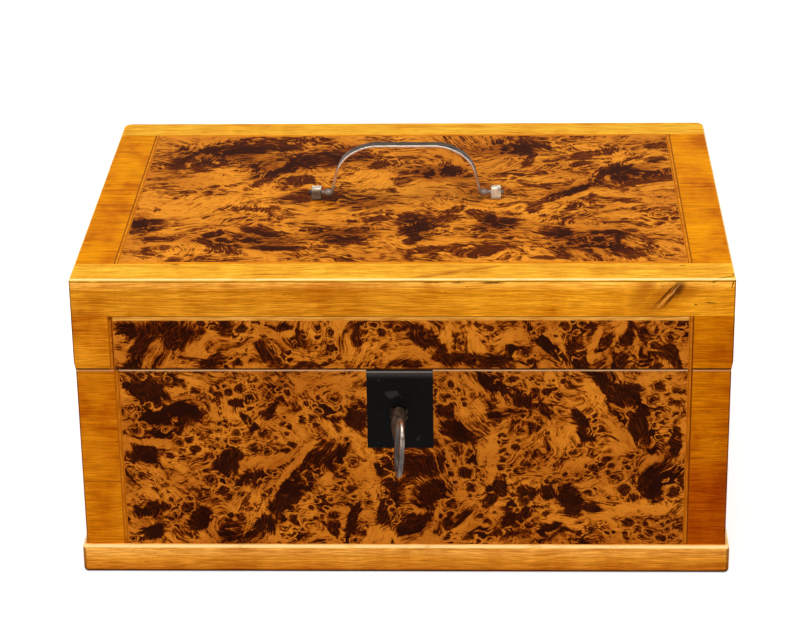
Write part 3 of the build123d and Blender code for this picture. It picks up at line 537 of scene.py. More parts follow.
def burl_group():
    """The figure of a burl: dark drifts with combed rims, clusters of dark eyes and swirling fibres."""
    tree, bench, enter, leave = new_group(
        "Burl Figure", ("Place",),
        ("Level", "Rising", "Falling", "Veins", "Clusters", "Wildness", "Combing", "Crispness"),
        ("Darkness", "Warmth", "Relief"),
    )
    place = enter["Place"]
    lean = bench.noise(place, (44, 36), detail=1)
    rising = bench.most(bench.between(enter["Rising"], -0.5, 0.0), bench.between(lean, 0.56, 0.66))
    falling = bench.most(bench.between(enter["Falling"], -0.5, 0.0), bench.between(lean, 0.44, 0.34))
    wander = bench.noise(place, (30, 26), detail=1, output="Color")
    stir = bench.noise(place, (7.5, 6.5), detail=1, output="Color")
    flowing = bench.moved(bench.moved(place, wander, 9.0), stir, 1.2)
    loose = bench.moved(place, stir, 1.4)

    strokes = bench.streaks(flowing, (7.0, 1.0), rising, falling, detail=2, roughness=0.6)
    hatch = bench.streaks(flowing, (3.6, 0.5), rising, falling, detail=2, roughness=0.6)
    patches = bench.streaks(flowing, (17, 6.5), rising, falling, detail=3, roughness=0.55)
    smoke = bench.streaks(flowing, (24, 11), rising, falling, detail=3, roughness=0.5)
    blotches = bench.noise(loose, (2.6, 2.3), detail=2, roughness=0.6)
    swirls = bench.noise(flowing, (14, 12), detail=2)
    rings = bench.noise(flowing, (15, 12), detail=2, roughness=0.45)

    marked = bench.most(enter["Level"], enter["Rising"], enter["Falling"])
    vein = bench.between(enter["Veins"], -0.3, 0.3)
    drifts = bench.total(
        bench.share(patches, 3.7), bench.math("MULTIPLY_ADD", bench.most(marked, -0.36), 1.9, 0.2),
        bench.times(vein, -1.1), enter["Wildness"],
    )
    halo = bench.between(drifts, -1.0, 0.5)
    drifts = bench.math("MINIMUM", bench.most(drifts, -0.75), 0.6)
    combed = bench.times(
        enter["Combing"], bench.between(bench.gap(drifts, -0.1), 0.12, 0.62, 1.0, 0.5),
        bench.total(bench.share(strokes, 2.5), bench.share(hatch, 1.1), bench.share(blotches, 1.5)),
    )
    clustered = bench.between(bench.total(
        bench.times(bench.most(enter["Clusters"], -0.3), 1.2), bench.share(swirls, 3.4),
        bench.times(vein, -0.6), enter["Wildness"], bench.math("MULTIPLY_ADD", enter["Crispness"], 0.9, -0.9),
    ), -0.25, 0.1)
    swirling = bench.between(swirls, 0.4, 0.6, 0.5, 2.2)
    ripples = bench.share(bench.math("PINGPONG", bench.times(rings, 13.0), 0.5), swirling, 0.25)
    drawn = bench.total(drifts, combed, ripples, bench.times(clustered, 0.16), 0.15)
    drawn = bench.total(
        bench.times(enter["Crispness"], drawn), bench.math("MULTIPLY_ADD", enter["Crispness"], 0.3, -0.3),
    )
    darkness = bench.total(
        bench.times(bench.between(smoke, 0.48, 0.72), 0.25), bench.between(drawn, -0.66, 0.66, 0.0, 0.72),
        bench.times(halo, 0.24),
    )
    for cell, ring, rarity in ((4.6, 0.38, 0.30), (6.8, 0.38, 0.36), (9.8, 0.36, 0.46)):
        distance, tint = bench.cells(loose, (cell, cell * 0.84))
        size, shine, luck = bench.parts(tint)
        radius = bench.math("MULTIPLY_ADD", size, 0.16, ring - 0.08)
        away = bench.math("DIVIDE", bench.total(distance, bench.share(blotches, 0.36)), radius)
        filled = bench.between(away, 0.6, 1.15, 1.0, 0.0)
        glint = bench.times(
            bench.between(bench.gap(away, 0.58), 0.03, 0.17, 1.0, 0.0),
            bench.between(bench.total(shine, bench.share(strokes, 2.2)), 0.5, 0.8),
        )
        eye = bench.total(0.08, bench.times(filled, 0.84), bench.times(glint, -0.66), bench.share(hatch, 0.9))
        present = bench.times(
            bench.between(luck, rarity, rarity + 0.04), bench.between(away, 1.15, 1.4, 1.0, 0.0), clustered,
        )
        darkness = bench.blend(present, darkness, eye)

    fibre = bench.times(enter["Combing"], bench.share(bench.between(hatch, 0.34, 0.66), 0.2))
    bench.feed_all(leave, {
        "Darkness": bench.math("ADD", darkness, fibre, clamp=True),
        "Warmth": bench.between(bench.noise(place, (34, 22), detail=3), 0.3, 0.7),
        "Relief": bench.times(hatch, 0.4),
    })
    return tree


def grain_group():
    """Straight grain along the X of its place: growth stripes, fine fibres, short pores and cross shimmer."""
    tree, bench, enter, leave = new_group(
        "Straight Grain", ("Place",), ("Coarseness", "Shimmer"), ("Stripes", "Fibres", "Pores", "Relief"),
    )
    place = bench.vector("DIVIDE", enter["Place"], enter["Coarseness"])
    bend = bench.noise(place, (70, 18, 18), detail=1, output="Color")
    wavy = bench.moved(place, bend, 2.5, (0, 1, 1))
    stripes = bench.noise(wavy, (150, 3.2, 3.2), detail=3, roughness=0.55)
    fibres = bench.noise(wavy, (14, 0.45, 0.45), detail=3, roughness=0.65)
    pores = bench.noise(wavy, (3.6, 0.3, 0.3), detail=2, roughness=0.6)
    shimmer = bench.share(bench.noise(place, (16, 30, 30), detail=3), enter["Shimmer"])
    bench.feed_all(leave, {
        "Stripes": bench.total(bench.share(stripes, 0.6, -0.09), shimmer, 0.15),
        "Fibres": fibres,
        "Pores": bench.between(pores, 0.62, 0.74),
        "Relief": bench.total(bench.times(fibres, 0.5), bench.times(pores, 0.35)),
    })
    return tree


def handling_group():
    """Marks that handling leaves on a polished surface: faint smears, fine scratches and specks."""
    tree, bench, enter, leave = new_group("Handling", ("Place",), (), ("Smears", "Scratches", "Specks"))
    place = enter["Place"]
    bench.feed_all(leave, {
        "Smears": bench.noise(place, (38, 30, 34), detail=4, roughness=0.6),
        "Scratches": bench.between(bench.noise(place, (9.0, 0.12, 9.0), detail=1), 0.70, 0.76),
        "Specks": bench.between(bench.noise(place, (1.1, 1.1, 1.1), detail=1), 0.74, 0.79),
    })
    return tree


def arris_group():
    """Worn arrises, found by where the surface turns: painted highlight facing up, grime and painted shade
    elsewhere.
    """
    tree, bench, enter, leave = new_group("Arris", ("Facing", "Place"), (), ("Bright", "Dark"))
    squarest = bench.most(*bench.parts(bench.vector("ABSOLUTE", enter["Facing"])))
    ragged = bench.noise(enter["Place"], (9.0, 9.0, 9.0), detail=4, roughness=0.6)
    edge = bench.between(squarest, 0.88, 0.985, 1.0, 0.0)
    edge = bench.times(edge, bench.between(ragged, 0.3, 0.46, 0.55, 1.0))
    upward = bench.between(bench.along(enter["Facing"], "Z"), 0.1, 0.45)
    bench.feed_all(leave, {
        "Bright": bench.times(edge, upward), "Dark": bench.times(edge, bench.math("SUBTRACT", 1.0, upward)),
    })
    return tree


def metal_group():
    """Old metal: cloudy tarnish, fine file marks along X and pits."""
    tree, bench, enter, leave = new_group(
        "Old Metal", ("Place",), (), ("Tarnish", "File Marks", "Pits", "Relief"),
    )
    place = enter["Place"]
    tarnish = bench.noise(place, (5.0, 3.0, 4.0), detail=5, roughness=0.65, distortion=0.6)
    marks = bench.noise(place, (7.0, 0.16, 0.16), detail=2)
    pits = bench.between(bench.noise(place, (0.55, 0.5, 0.55), detail=2, roughness=0.6), 0.64, 0.76)
    bench.feed_all(leave, {
        "Tarnish": bench.between(tarnish, 0.35, 0.66), "File Marks": marks, "Pits": pits,
        "Relief": bench.total(bench.times(marks, 0.4), bench.times(pits, -0.8), bench.times(tarnish, 0.5)),
    })
    return tree


GROUP_MAKERS = {
    "Burl Figure": burl_group, "Straight Grain": grain_group, "Handling": handling_group,
    "Arris": arris_group, "Old Metal": metal_group,
}


def new_material(name, **constants):
    """A material with its Principled BSDF. Gives the material, its bench and the shader."""
    material = bpy.data.materials.new(name)
    material.use_nodes = True
    shader = material.node_tree.nodes["Principled BSDF"]
    for socket, value in constants.items():
        shader.inputs[socket.replace("_", " ")].default_value = value
    return material, Bench(material.node_tree), shader


def shade(bench, shader, colour, roughness, relief, depth, metallic=None):
    """Feed a shader its colour, roughness, bump of a depth in millimetres and, where given, metallic."""
    bump = bench.add("Bump")
    bench.feed_all(bump, {"Height": relief, "Strength": 1.0, "Distance": depth * MM})
    bench.feed_all(shader, {"Base Color": colour, "Roughness": roughness, "Normal": bump.outputs[0]})
    if metallic is not None:
        bench.feed(shader.inputs["Metallic"], metallic)


def coat(piece, material):
    """Give a piece one material, in place of any others."""
    piece.data.materials.clear()
    piece.data.materials.append(material)


def dress(material, *nodes):
    """Give CAD nodes a material."""
    for name in nodes:
        coat(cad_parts[name], material)


# ---- woods ----

# Dark of the joints between pieces, also used for the painted shadow along the parting of lid and case.
SEAM_AND_SHADOW_DARK = paint(52, 20, 6)
GLUE_LINE = paint(120, 58, 4)
RED_LINE = paint(92, 26, 2)
FAINT_LINE = paint(158, 80, 6)
STRING_WIDTH = 2.1
CASE_EDGE = node_span("case_front_burl")[2][1] - 0.4
# At the parting: a painted shadow along the foot of the lid's front, and a painted highlight on the case's
# rubbed top arris.
LID_PARTING_SHADOW = (("Z", node_span("lid_front_burl")[2][0] + 0.3, 0.85, SEAM_AND_SHADOW_DARK),)
CASE_RIM_HIGHLIGHT = (("Z", CASE_EDGE, 0.6, paint(244, 190, 136)),)
STILE_RIM_HIGHLIGHT = (("Z", CASE_EDGE, 0.75, paint(232, 158, 96)),)
CASE_JOINT = (("Z", 46.6, 0.4, paint(150, 72, 10)),)
POLISH = {"Specular_IOR_Level": 0.008}


def leaning(marks, lowest, highest):
    """The marks whose turn lies between two angles."""
    return [mark for mark in marks if lowest < mark[4] <= highest]


def burl_wood(name, order, wildness, ground, *nodes, figure=(), eyes=(), veins=(), smoke=(), lines=(),
              coarseness=1.0, combing=1.0, crispness=1.0, depth=0.96):
    """Dress CAD nodes in polished burl veneer with marks of its own.

    Order names the two axes that the marks are given in. Wildness is how much figure lies outside them,
    coarseness the size of the figure, combing the strength of its strokes, crispness its contrast and
    depth its darkest level. Smoke is a set of wide dark drifts with soft rims.
    """
    material, bench, shader = new_material(name, **POLISH)
    place = bench.place()
    flat = bench.turned(place, order)
    stir = bench.noise(flat, (9 * coarseness, 8 * coarseness), detail=3, roughness=0.55, output="Color")
    bent = bench.moved(flat, stir, 2.4 * coarseness)
    darkness, warmth, relief = bench.group(
        "Burl Figure", Place=bench.stretched(flat, (coarseness, coarseness)),
        Wildness=wildness, Combing=combing, Crispness=crispness,
        Level=bench.marks(bent, leaning(figure, -26, 26)), Rising=bench.marks(bent, leaning(figure, 26, 90)),
        Falling=bench.marks(bent, leaning(figure, -91, -26)), Veins=bench.marks(bent, veins),
        Clusters=bench.marks(bent, eyes),
    )
    if smoke:
        drifts = bench.between(bench.marks(bent, smoke), -0.3, 0.8, 0.0, 0.5)
        darkness = bench.between(bench.total(drifts, darkness), -0.19, 1.33)
    ground = tuple(ground)
    wood = bench.ramp(
        bench.times(darkness, depth), (0.0, ground), (1.0, tuple(bpy.context.scene.ditty_box_colours.figure)),
        (0.25, tinted(ground, 0.72, 0.62, 0.50)), (0.50, tinted(ground, 0.37, 0.23, 0.14)),
        (0.75, tinted(ground, 0.13, 0.06, 0.06)),
    )
    wood = bench.mix(1.0, wood, bench.mix(warmth, paint(226, 214, 205), paint(255, 255, 250)), "MULTIPLY")
    arris, handling = bench.wear_and_edge_light(place)
    # Arrises: darker on the sides, grime and painted shade, and a painted highlight where they face up.
    wood = bench.mix(bench.times(arris["Dark"], 0.8), wood, paint(30, 12, 6))
    wood = bench.mix(bench.times(arris["Bright"], 0.85), wood, paint(255, 206, 146))
    wood = bench.lines(wood, place, lines)
    roughness = bench.total(
        0.24, bench.share(handling["Smears"], 0.18), bench.times(handling["Scratches"], 0.1),
    )
    shade(bench, shader, wood, roughness, relief, 0.05)
    dress(material, *nodes)


def straight_wood(name, order, tint, *nodes, marks=(), mark_order="XZ", coarseness=1.0, lines=(), fades=(),
                  shimmer=0.6, ribs=(206, 186, 156)):
    """Dress CAD nodes in polished straight-grained wood, with marks, lines and fades where given.

    Order names the grain's own axes, its length first, and mark_order the two that marks are given in.
    A line is (axis, place, half width, colour) and a fade (axis, from, to, shares of the tint), in mm.
    """
    material, bench, shader = new_material(name, **POLISH)
    place = bench.place()
    grain = bench.group(
        "Straight Grain", Place=bench.turned(place, order), Coarseness=coarseness, Shimmer=shimmer,
    )
    deep, pale = tinted(tint, 0.72, 0.54, 0.34), tinted(tint, 1.12, 1.24, 1.7)
    wood = bench.ramp(grain["Stripes"], (0.30, deep), (0.72, pale), (0.5, tuple(tint)))
    fibres = bench.between(grain["Fibres"], 0.36, 0.66)
    wood = bench.mix(1.0, wood, bench.mix(fibres, paint(*ribs), paint(255, 255, 255)), "MULTIPLY")
    wood = bench.mix(bench.times(grain["Pores"], 0.5), wood, paint(116, 52, 10))
    for axis, start, end, shares in fades:
        faded = bench.between(bench.along(place, axis), start, end)
        wood = bench.mix(faded, wood, bench.mix(1.0, wood, (*shares, 1.0), "MULTIPLY"))
    ragged = bench.noise(place, (3, 3, 3), detail=3, output="Color")
    spots = bench.moved(bench.turned(place, mark_order), ragged, 0.8)
    for kind, start, full, strength, stain in MARK_LOOKS:
        if kind in marks:
            stained = bench.between(bench.marks(spots, marks[kind]), start, full, 0.0, strength)
            wood = bench.mix(stained, wood, stain)
    arris, handling = bench.wear_and_edge_light(place)
    # Dark specks, arrises darker on the sides from grime and painted shade, and a painted highlight where
    # they face up.
    dark = bench.most(bench.times(handling["Specks"], 0.5), bench.times(arris["Dark"], 0.6))
    wood = bench.mix(dark, wood, paint(58, 22, 6))
    wood = bench.mix(bench.times(arris["Bright"], 0.92), wood, paint(252, 218, 146))
    wood = bench.lines(wood, place, lines)
    roughness = bench.total(0.26, bench.share(handling["Smears"], 0.2), bench.times(grain["Pores"], 0.12))
    shade(bench, shader, wood, roughness, grain["Relief"], 0.05)
    dress(material, *nodes)


def carcase_material(name, order):
    """Bare planed wood, darker on its end grain."""
    material, bench, shader = new_material(name, Specular_IOR_Level=0.25)
    place = bench.place()
    grain = bench.group("Straight Grain", Place=bench.turned(place, order), Coarseness=1.7, Shimmer=0.5)
    tint = tuple(bpy.context.scene.ditty_box_colours.carcase)
    deep = tinted(tint, 0.66, 0.55, 0.42)
    wood = bench.ramp(grain["Stripes"], (0.34, deep), (0.66, tint))
    end_grain = bench.math("ABSOLUTE", bench.along(bench.facing(), order[0]))
    wood = bench.mix(bench.between(end_grain, 0.5, 0.9, 0.0, 0.55), wood, deep)
    smears = bench.group("Handling", Place=place)["Smears"]
    wood = bench.mix(bench.between(smears, 0.45, 0.75, 0.0, 0.3), wood, paint(110, 74, 40))
    wood = bench.mix(bench.times(grain["Pores"], 0.4), wood, paint(92, 54, 24))
    shade(bench, shader, wood, bench.total(0.55, bench.share(smears, 0.2)), grain["Relief"], 0.14)
    return material


# ---- operators for the woods ----

class DITTYBOX_OT_burl(bpy.types.Operator):
    """Dress the burl panels of the lid and the case"""
    bl_idname = "ditty_box.burl"
    bl_label = "Burl Panels"

    def execute(self, context):
        colours = context.scene.ditty_box_colours
        burl_wood("Burl Top", "XY", 0.08, colours.top_ground, "lid_top_burl",
                  figure=TOP_FIGURE, eyes=TOP_EYES, veins=TOP_VEINS, smoke=TOP_SMOKE,
                  coarseness=1.5, combing=1.7, crispness=0.76, depth=0.93)
        burl_wood("Burl Lid Front", "XZ", 0.06, colours.ground, "lid_front_burl",
                  figure=LID_FIGURE, eyes=LID_EYES, veins=LID_VEINS, lines=LID_PARTING_SHADOW, crispness=0.75)
        burl_wood("Burl Case Front", "XZ", 0.0, colours.ground, "case_front_burl",
                  figure=CASE_FIGURE, eyes=CASE_EYES, veins=CASE_VEINS, lines=CASE_RIM_HIGHLIGHT)
        burl_wood("Burl Sides", "YZ", 0.25, colours.ground,
                  "case_left_burl", "case_right_burl", "lid_left_burl", "lid_right_burl")
        return {"FINISHED"}


class DITTYBOX_OT_bands(bpy.types.Operator):
    """Dress the straight-grained bands, rail and stiles"""
    bl_idname = "ditty_box.bands"
    bl_label = "Bands and Stiles"

    def execute(self, context):
        colours = context.scene.ditty_box_colours
        rail_seam = (("Z", node_span("lid_front_rail")[2][1], 0.5, SEAM_AND_SHADOW_DARK),)
        straight_wood("Band Top", "XYZ", colours.band, "lid_top_front_band", "lid_top_back_band",
                      marks=TOP_BAND_MARKS, mark_order="XY")
        straight_wood("Band Top Right", "XYZ", colours.side_band, "lid_top_right_band", shimmer=1.2,
                      fades=(("Y", 19.4, 20.0, (1.08, 1.12, 1.0)), ("Y", -39.6, -39.0, (0.93, 0.88, 1.0))))
        straight_wood("Band Top Left", "XYZ", colours.side_band, "lid_top_left_band", shimmer=1.2,
                      fades=(("Y", -5.0, -14.0, (0.90, 0.84, 1.0)), ("Y", -46.0, -54.0, (1.08, 1.14, 1.0))))
        # The rail lightens towards its top, a painted sheen below its rounded arris.
        straight_wood("Rail", "XZY", colours.rail, "lid_front_rail", marks=RAIL_MARKS, lines=rail_seam,
                      fades=(("Z", 142.5, 147.0, (1.4, 1.7, 6.0)), ("X", -30.0, 70.0, (1.14, 1.17, 0.94))),
                      shimmer=0.75, ribs=(204, 182, 150))
        straight_wood("Stile Lid", "XZY", colours.lid_stile, "lid_front_stile_left",
                      marks=CORNER_SPOT, lines=LID_PARTING_SHADOW, shimmer=0.9)
        straight_wood("Stile Lid Right", "XZY", colours.right_stile, "lid_front_stile_right",
                      lines=LID_PARTING_SHADOW, shimmer=0.9)
        straight_wood("Stile Case", "XZY", colours.stile, "case_front_stile_left",
                      lines=STILE_RIM_HIGHLIGHT + CASE_JOINT, shimmer=1.0)
        straight_wood("Stile Case Right", "XZY", colours.right_stile, "case_front_stile_right",
                      lines=STILE_RIM_HIGHLIGHT, fades=(("Z", 66.0, 44.0, (0.80, 0.56, 0.5)),), shimmer=0.9)
        straight_wood("Band Sides", "YZX", colours.stile, "lid_left_bands", "lid_right_bands")
        straight_wood("Stile Sides", "YZX", colours.stile, "case_left_stiles", "case_right_stiles")
        return {"FINISHED"}


class DITTYBOX_OT_stringing(bpy.types.Operator):
    """Dress the light stringing, with the dark line on its outer side"""
    bl_idname = "ditty_box.stringing"
    bl_label = "Stringing"

    line_width: length("Dark line", 0.62 * MM, "Width of the dark line of the laminated stringing")

    def execute(self, context):
        colours = context.scene.ditty_box_colours
        width = self.line_width / MM
        glue, faint, faint_and_red = (GLUE_LINE,) * 2, (FAINT_LINE,) * 2, (FAINT_LINE, RED_LINE)
        for node, order, tint, marks, outer, inner in (
            ("lid_top_strings", "XYZ", colours.top_string, (), glue, faint),
            ("lid_front_strings", "XZY", colours.string, CORNER_SPOT, faint_and_red, faint_and_red[::-1]),
            ("case_front_strings", "ZXY", colours.dull_string, (), faint_and_red, faint),
        ):
            (left, right), _, (_, top) = node_span(node)
            lines, fades = [], []
            for inset, half_width, (first, second) in (
                (width / 2, width * 0.7, outer), (STRING_WIDTH - width / 2, width * 0.6, inner),
            ):
                lines += [("X", left + inset, half_width, first), ("X", right - inset, half_width, second)]
            if node == "lid_front_strings":
                lines.append(("Z", top, width * 0.6, SEAM_AND_SHADOW_DARK))
                dull = [share / full for share, full in zip(colours.dull_string[:3], colours.string[:3])]
                fades = [("X", left + STRING_WIDTH + 0.6, left + STRING_WIDTH, dull),
                         ("X", right - STRING_WIDTH - 0.6, right - STRING_WIDTH, dull)]
            straight_wood("Stringing " + node, order, tint, node,
                          marks=marks, coarseness=0.8, lines=lines, fades=fades)
        return {"FINISHED"}


class DITTYBOX_OT_plinth(bpy.types.Operator):
    """Dress the moulding round the foot"""
    bl_idname = "ditty_box.plinth"
    bl_label = "Plinth"

    def execute(self, context):
        colours = context.scene.ditty_box_colours
        # Painted light on the rounded moulding: a painted highlight near its top, painted shade lower down,
        # and a painted contact shadow at the very foot.
        fades = (
            ("Z", 6.4, 4.4, (0.84, 0.74, 0.6)), ("Z", 3.4, 1.2, (0.8, 0.62, 0.4)),
            ("Z", 2.1, 0.9, (0.06, 0.04, 0.03)), ("Z", 7.0, 12.6, (1.22, 1.45, 3.1)),
        )
        straight_wood("Plinth Front", "XZY", colours.plinth, "plinth_front", "plinth_back", fades=fades)
        straight_wood("Plinth Sides", "YZX", colours.plinth, "plinth_left", "plinth_right", fades=fades)
        return {"FINISHED"}


class DITTYBOX_OT_carcase(bpy.types.Operator):
    """Dress the bare boards of the inside, the back and the underside"""
    bl_idname = "ditty_box.carcase"
    bl_label = "Carcase"

    def execute(self, context):
        across = carcase_material("Carcase Across", "XYZ")
        along = carcase_material("Carcase Along", "YXZ")
        for part in ("case", "lid"):
            dress(across, part + "_front_board", part + "_back_board")
            dress(along, part + "_left_board", part + "_right_board")
        dress(across, "case_bottom_board", "lid_top_board")
        return {"FINISHED"}


# ---- metals ----

def metal_material(name, tint, order="XYZ", worn_and_lit=None, roughness=0.34, depth=0.06, dull=0.5, metallic=1.0,
                   films_and_painted_light=()):
    """Old metal: tarnished, its faces along one axis lighter: rubbed bare, partly a painted highlight.

    Darker tints cover some stretches, on the key painted shade and a painted reflection of the wood.
    Each is (axis, from, to, colour), in millimetres: bare at the first place and full at the second.
    """
    material, bench, shader = new_material(name)
    place = bench.place()
    old = bench.group("Old Metal", Place=bench.turned(place, order))
    metal = bench.mix(old["Tarnish"], tuple(tint), tinted(tint, dull * 0.94, dull * 0.9, dull * 0.92))
    # Faces along the given axis turn lighter: rubbed bare, and partly a painted highlight.
    if worn_and_lit is not None:
        axis, worn_and_lit_tint = worn_and_lit
        side = bench.math("ABSOLUTE", bench.along(bench.facing(), axis))
        ragged = bench.total(side, bench.share(old["File Marks"], 0.5))
        metal = bench.mix(bench.between(ragged, 0.35, 0.8), metal, worn_and_lit_tint)
    metal = bench.mix(bench.times(old["Pits"], 0.7), metal, paint(38, 28, 22))
    rough = bench.total(roughness, bench.times(old["Tarnish"], 0.18), bench.share(old["File Marks"], 0.16))
    metallic = bench.between(old["Pits"], 0.2, 0.9, metallic, metallic * 0.35)
    # Tints laid over stretches along an axis; on the key they are painted shade and a painted reflection.
    for axis, start, end, film_and_painted_light in films_and_painted_light:
        ragged = bench.total(bench.along(place, axis), bench.share(old["Tarnish"], abs(end - start) * 0.5))
        covered = bench.between(ragged, start, end, 0.0, 0.88)
        metal = bench.mix(covered, metal, film_and_painted_light)
        metallic = bench.times(metallic, bench.math("SUBTRACT", 1.0, covered))
    shade(bench, shader, metal, rough, old["Relief"], depth, metallic)
    return material


class DITTYBOX_OT_escutcheon(bpy.types.Operator):
    """Dress the black plate round the keyhole"""
    bl_idname = "ditty_box.escutcheon"
    bl_label = "Escutcheon"

    def execute(self, context):
        material, bench, shader = new_material("Black Plate", Specular_IOR_Level=0.03)
        place = bench.place()
        arris, handling = bench.wear_and_edge_light(place)
        old = bench.group("Old Metal", Place=bench.turned(place, "XZY"))
        black = tuple(context.scene.ditty_box_colours.black)
        plate = bench.mix(handling["Smears"], black, tinted(black, 2.4, 2.4, 2.4))
        plate = bench.mix(bench.times(handling["Scratches"], 0.35), plate, paint(70, 66, 60))
        # A painted highlight on the arrises that face up.
        plate = bench.mix(bench.times(arris["Bright"], 0.9), plate, paint(150, 140, 126))
        plate = bench.mix(bench.times(handling["Specks"], 0.5), plate, paint(70, 64, 58))
        top = node_span("escutcheon")[2][1]
        # Painted light on the plate: a painted sheen over its upper part, a painted highlight line along its
        # top arris, and a painted shadow line along its top edge.
        painted_sheen = bench.between(bench.along(place, "Z"), top - 5.5, top - 1.6)
        plate = bench.mix(bench.times(painted_sheen, painted_sheen), plate, paint(62, 56, 52))
        highlight_and_shadow_lines = (("Z", top - 1.1, 0.4, paint(140, 131, 124)), ("Z", top, 0.7, paint(34, 20, 12)))
        plate = bench.lines(plate, place, highlight_and_shadow_lines)
        rough = bench.total(0.42, bench.share(handling["Smears"], 0.25))
        shade(bench, shader, plate, rough, old["Relief"], 0.04)
        dress(material, "escutcheon")
        return {"FINISHED"}


class DITTYBOX_OT_fittings(bpy.types.Operator):
    """Dress the lock, the strike plate, the hinges and the screws"""
    bl_idname = "ditty_box.fittings"
    bl_label = "Lock and Hinges"

    def execute(self, context):
        colours = context.scene.ditty_box_colours
        iron = metal_material("Lock Iron", colours.iron, roughness=0.42)
        dress(iron, "lock_backplate", "lock_case", "lock_bolt", "lock_spring", "strike_plate")
        brass = metal_material("Hinge Brass", colours.brass, roughness=0.36)
        for side in ("left", "right"):
            dress(brass, f"hinge_{side}_case_leaf", f"hinge_{side}_lid_leaf", f"hinge_{side}_pin")
        dress(metal_material("Screw Steel", colours.steel, roughness=0.38),
              "hinge_case_screws", "hinge_lid_screws", "lock_screws", "strike_screws",
              "handle_post_washers", "handle_post_nuts")
        return {"FINISHED"}


# ---- handle ----

HANDLE_MIDDLE = -0.45
PIVOT_Z = 151.9
HANDLE_Y = -4.2
BAIL_RISE = 24.2
BAIL_CORNERS = ((0, BAIL_RISE), (19.0, BAIL_RISE), (31.5, 17.6), (35.7, 0), (38.6, 0))
BAIL_RADII = (22.0, 17.0, 2.6)
BEND_STEP = radians(8)
FOOT_X = 37.4
FOOT_HALF_SIZES = (2.5, 2.0, 1.8)
PIN_START = 38.0
PIN_RADIUS = 1.05
PIN_HEAD_HALF_SIZES = (0.6, 1.45, 1.4)
PIN_CLEARANCE = 0.3
POST_LAND = 0.9
POST_ARRIS = 0.7
POST_HOLE_RADIUS = 1.2


def along_bends(points, radii):
    """Places down a bent strip, each with the angle that the strip runs at: straight runs joined by arcs."""
    stations = []
    for before, corner, after, radius in zip(points, points[1:], points[2:], radii):
        heading = atan2(corner[1] - before[1], corner[0] - before[0])
        turn = atan2(after[1] - corner[1], after[0] - corner[0]) - heading
        side = copysign(radius, turn)
        reach = abs(side) * tan(abs(turn) / 2)
        middle_x = corner[0] - reach * cos(heading) - side * sin(heading)
        middle_z = corner[1] - reach * sin(heading) + side * cos(heading)
        count = ceil(abs(turn) / BEND_STEP)
        for index in range(count + 1):
            angle = heading + turn * index / count
            stations.append((middle_x + side * sin(angle), middle_z - side * cos(angle), angle))
    stations.append((*points[-1], stations[-1][2]))
    return stations


class DITTYBOX_OT_bail(bpy.types.Operator):
    """Forge the handle from a strip: bend it over its shoulders, narrow its legs and upset its feet"""
    bl_idname = "ditty_box.bail"
    bl_label = "Handle Bail"

    def execute(self, context):
        sizes = context.scene.ditty_box_sizes
        full, foot = sizes.bail_width / MM, sizes.bail_foot_width / MM
        alone()
        bpy.ops.mesh.primitive_plane_add(size=MM, location=(0, 0, BAIL_RISE * MM), rotation=(0, pi / 2, 0))
        strip = set_down(bpy.context.object)
        with editing():
            bpy.ops.transform.resize(value=(1, full, sizes.bail_thickness / MM))
            at_x, at_z, heading, width = 0.0, BAIL_RISE, 0.0, full
            for x, z, angle in along_bends(BAIL_CORNERS, BAIL_RADII):
                pull(x - at_x, 0, z - at_z)
                middle = (x * MM, 0, z * MM)
                bpy.ops.transform.rotate(value=angle - heading, orient_axis="Y", center_override=middle)
                wanted = foot + (full - foot) * min(1.0, max(0.0, z / (BAIL_RISE / 2)))
                bpy.ops.transform.resize(value=(1, wanted / width, 1), center_override=middle)
                at_x, at_z, heading, width = x, z, angle, wanted
        apply(strip, "MIRROR", use_clip=True)
        pieces = [strip]
        pin_end = node_span("handle_bail")[0][1] - HANDLE_MIDDLE - PIN_CLEARANCE
        for way in (-1, 1):
            pieces.append(ball(FOOT_HALF_SIZES, (way * FOOT_X, 0, 0)))
            pieces.append(cylinder(PIN_RADIUS, way * PIN_START, way * (pin_end - 0.3), (None, 0, 0)))
            pieces.append(ball(PIN_HEAD_HALF_SIZES, (way * (pin_end - 0.55), 0, 0)))
        bail = forged(pieces, "forged_bail", voxel=0.22, dents=0.3, dent_size=5.0)
        bail.location = (HANDLE_MIDDLE * MM, HANDLE_Y * MM, PIVOT_Z * MM)
        set_down(bail)
        # The strip's edges are lighter, rubbed bare and partly a painted highlight; its legs darken towards
        # the feet.
        coat(bail, metal_material(
            "Bail Steel", context.scene.ditty_box_colours.steel, worn_and_lit=("Y", paint(236, 218, 202)),
            roughness=0.3, depth=0.07, dull=0.4, films_and_painted_light=(
                ("Z", PIVOT_Z + 7.0, PIVOT_Z + 1.5, paint(108, 90, 76)),
                ("X", HANDLE_MIDDLE - pin_end + 1.4, HANDLE_MIDDLE - pin_end + 0.8, paint(14, 9, 7)),
            )))
        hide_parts("handle_bail")
        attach(bail, "handle")
        return {"FINISHED"}


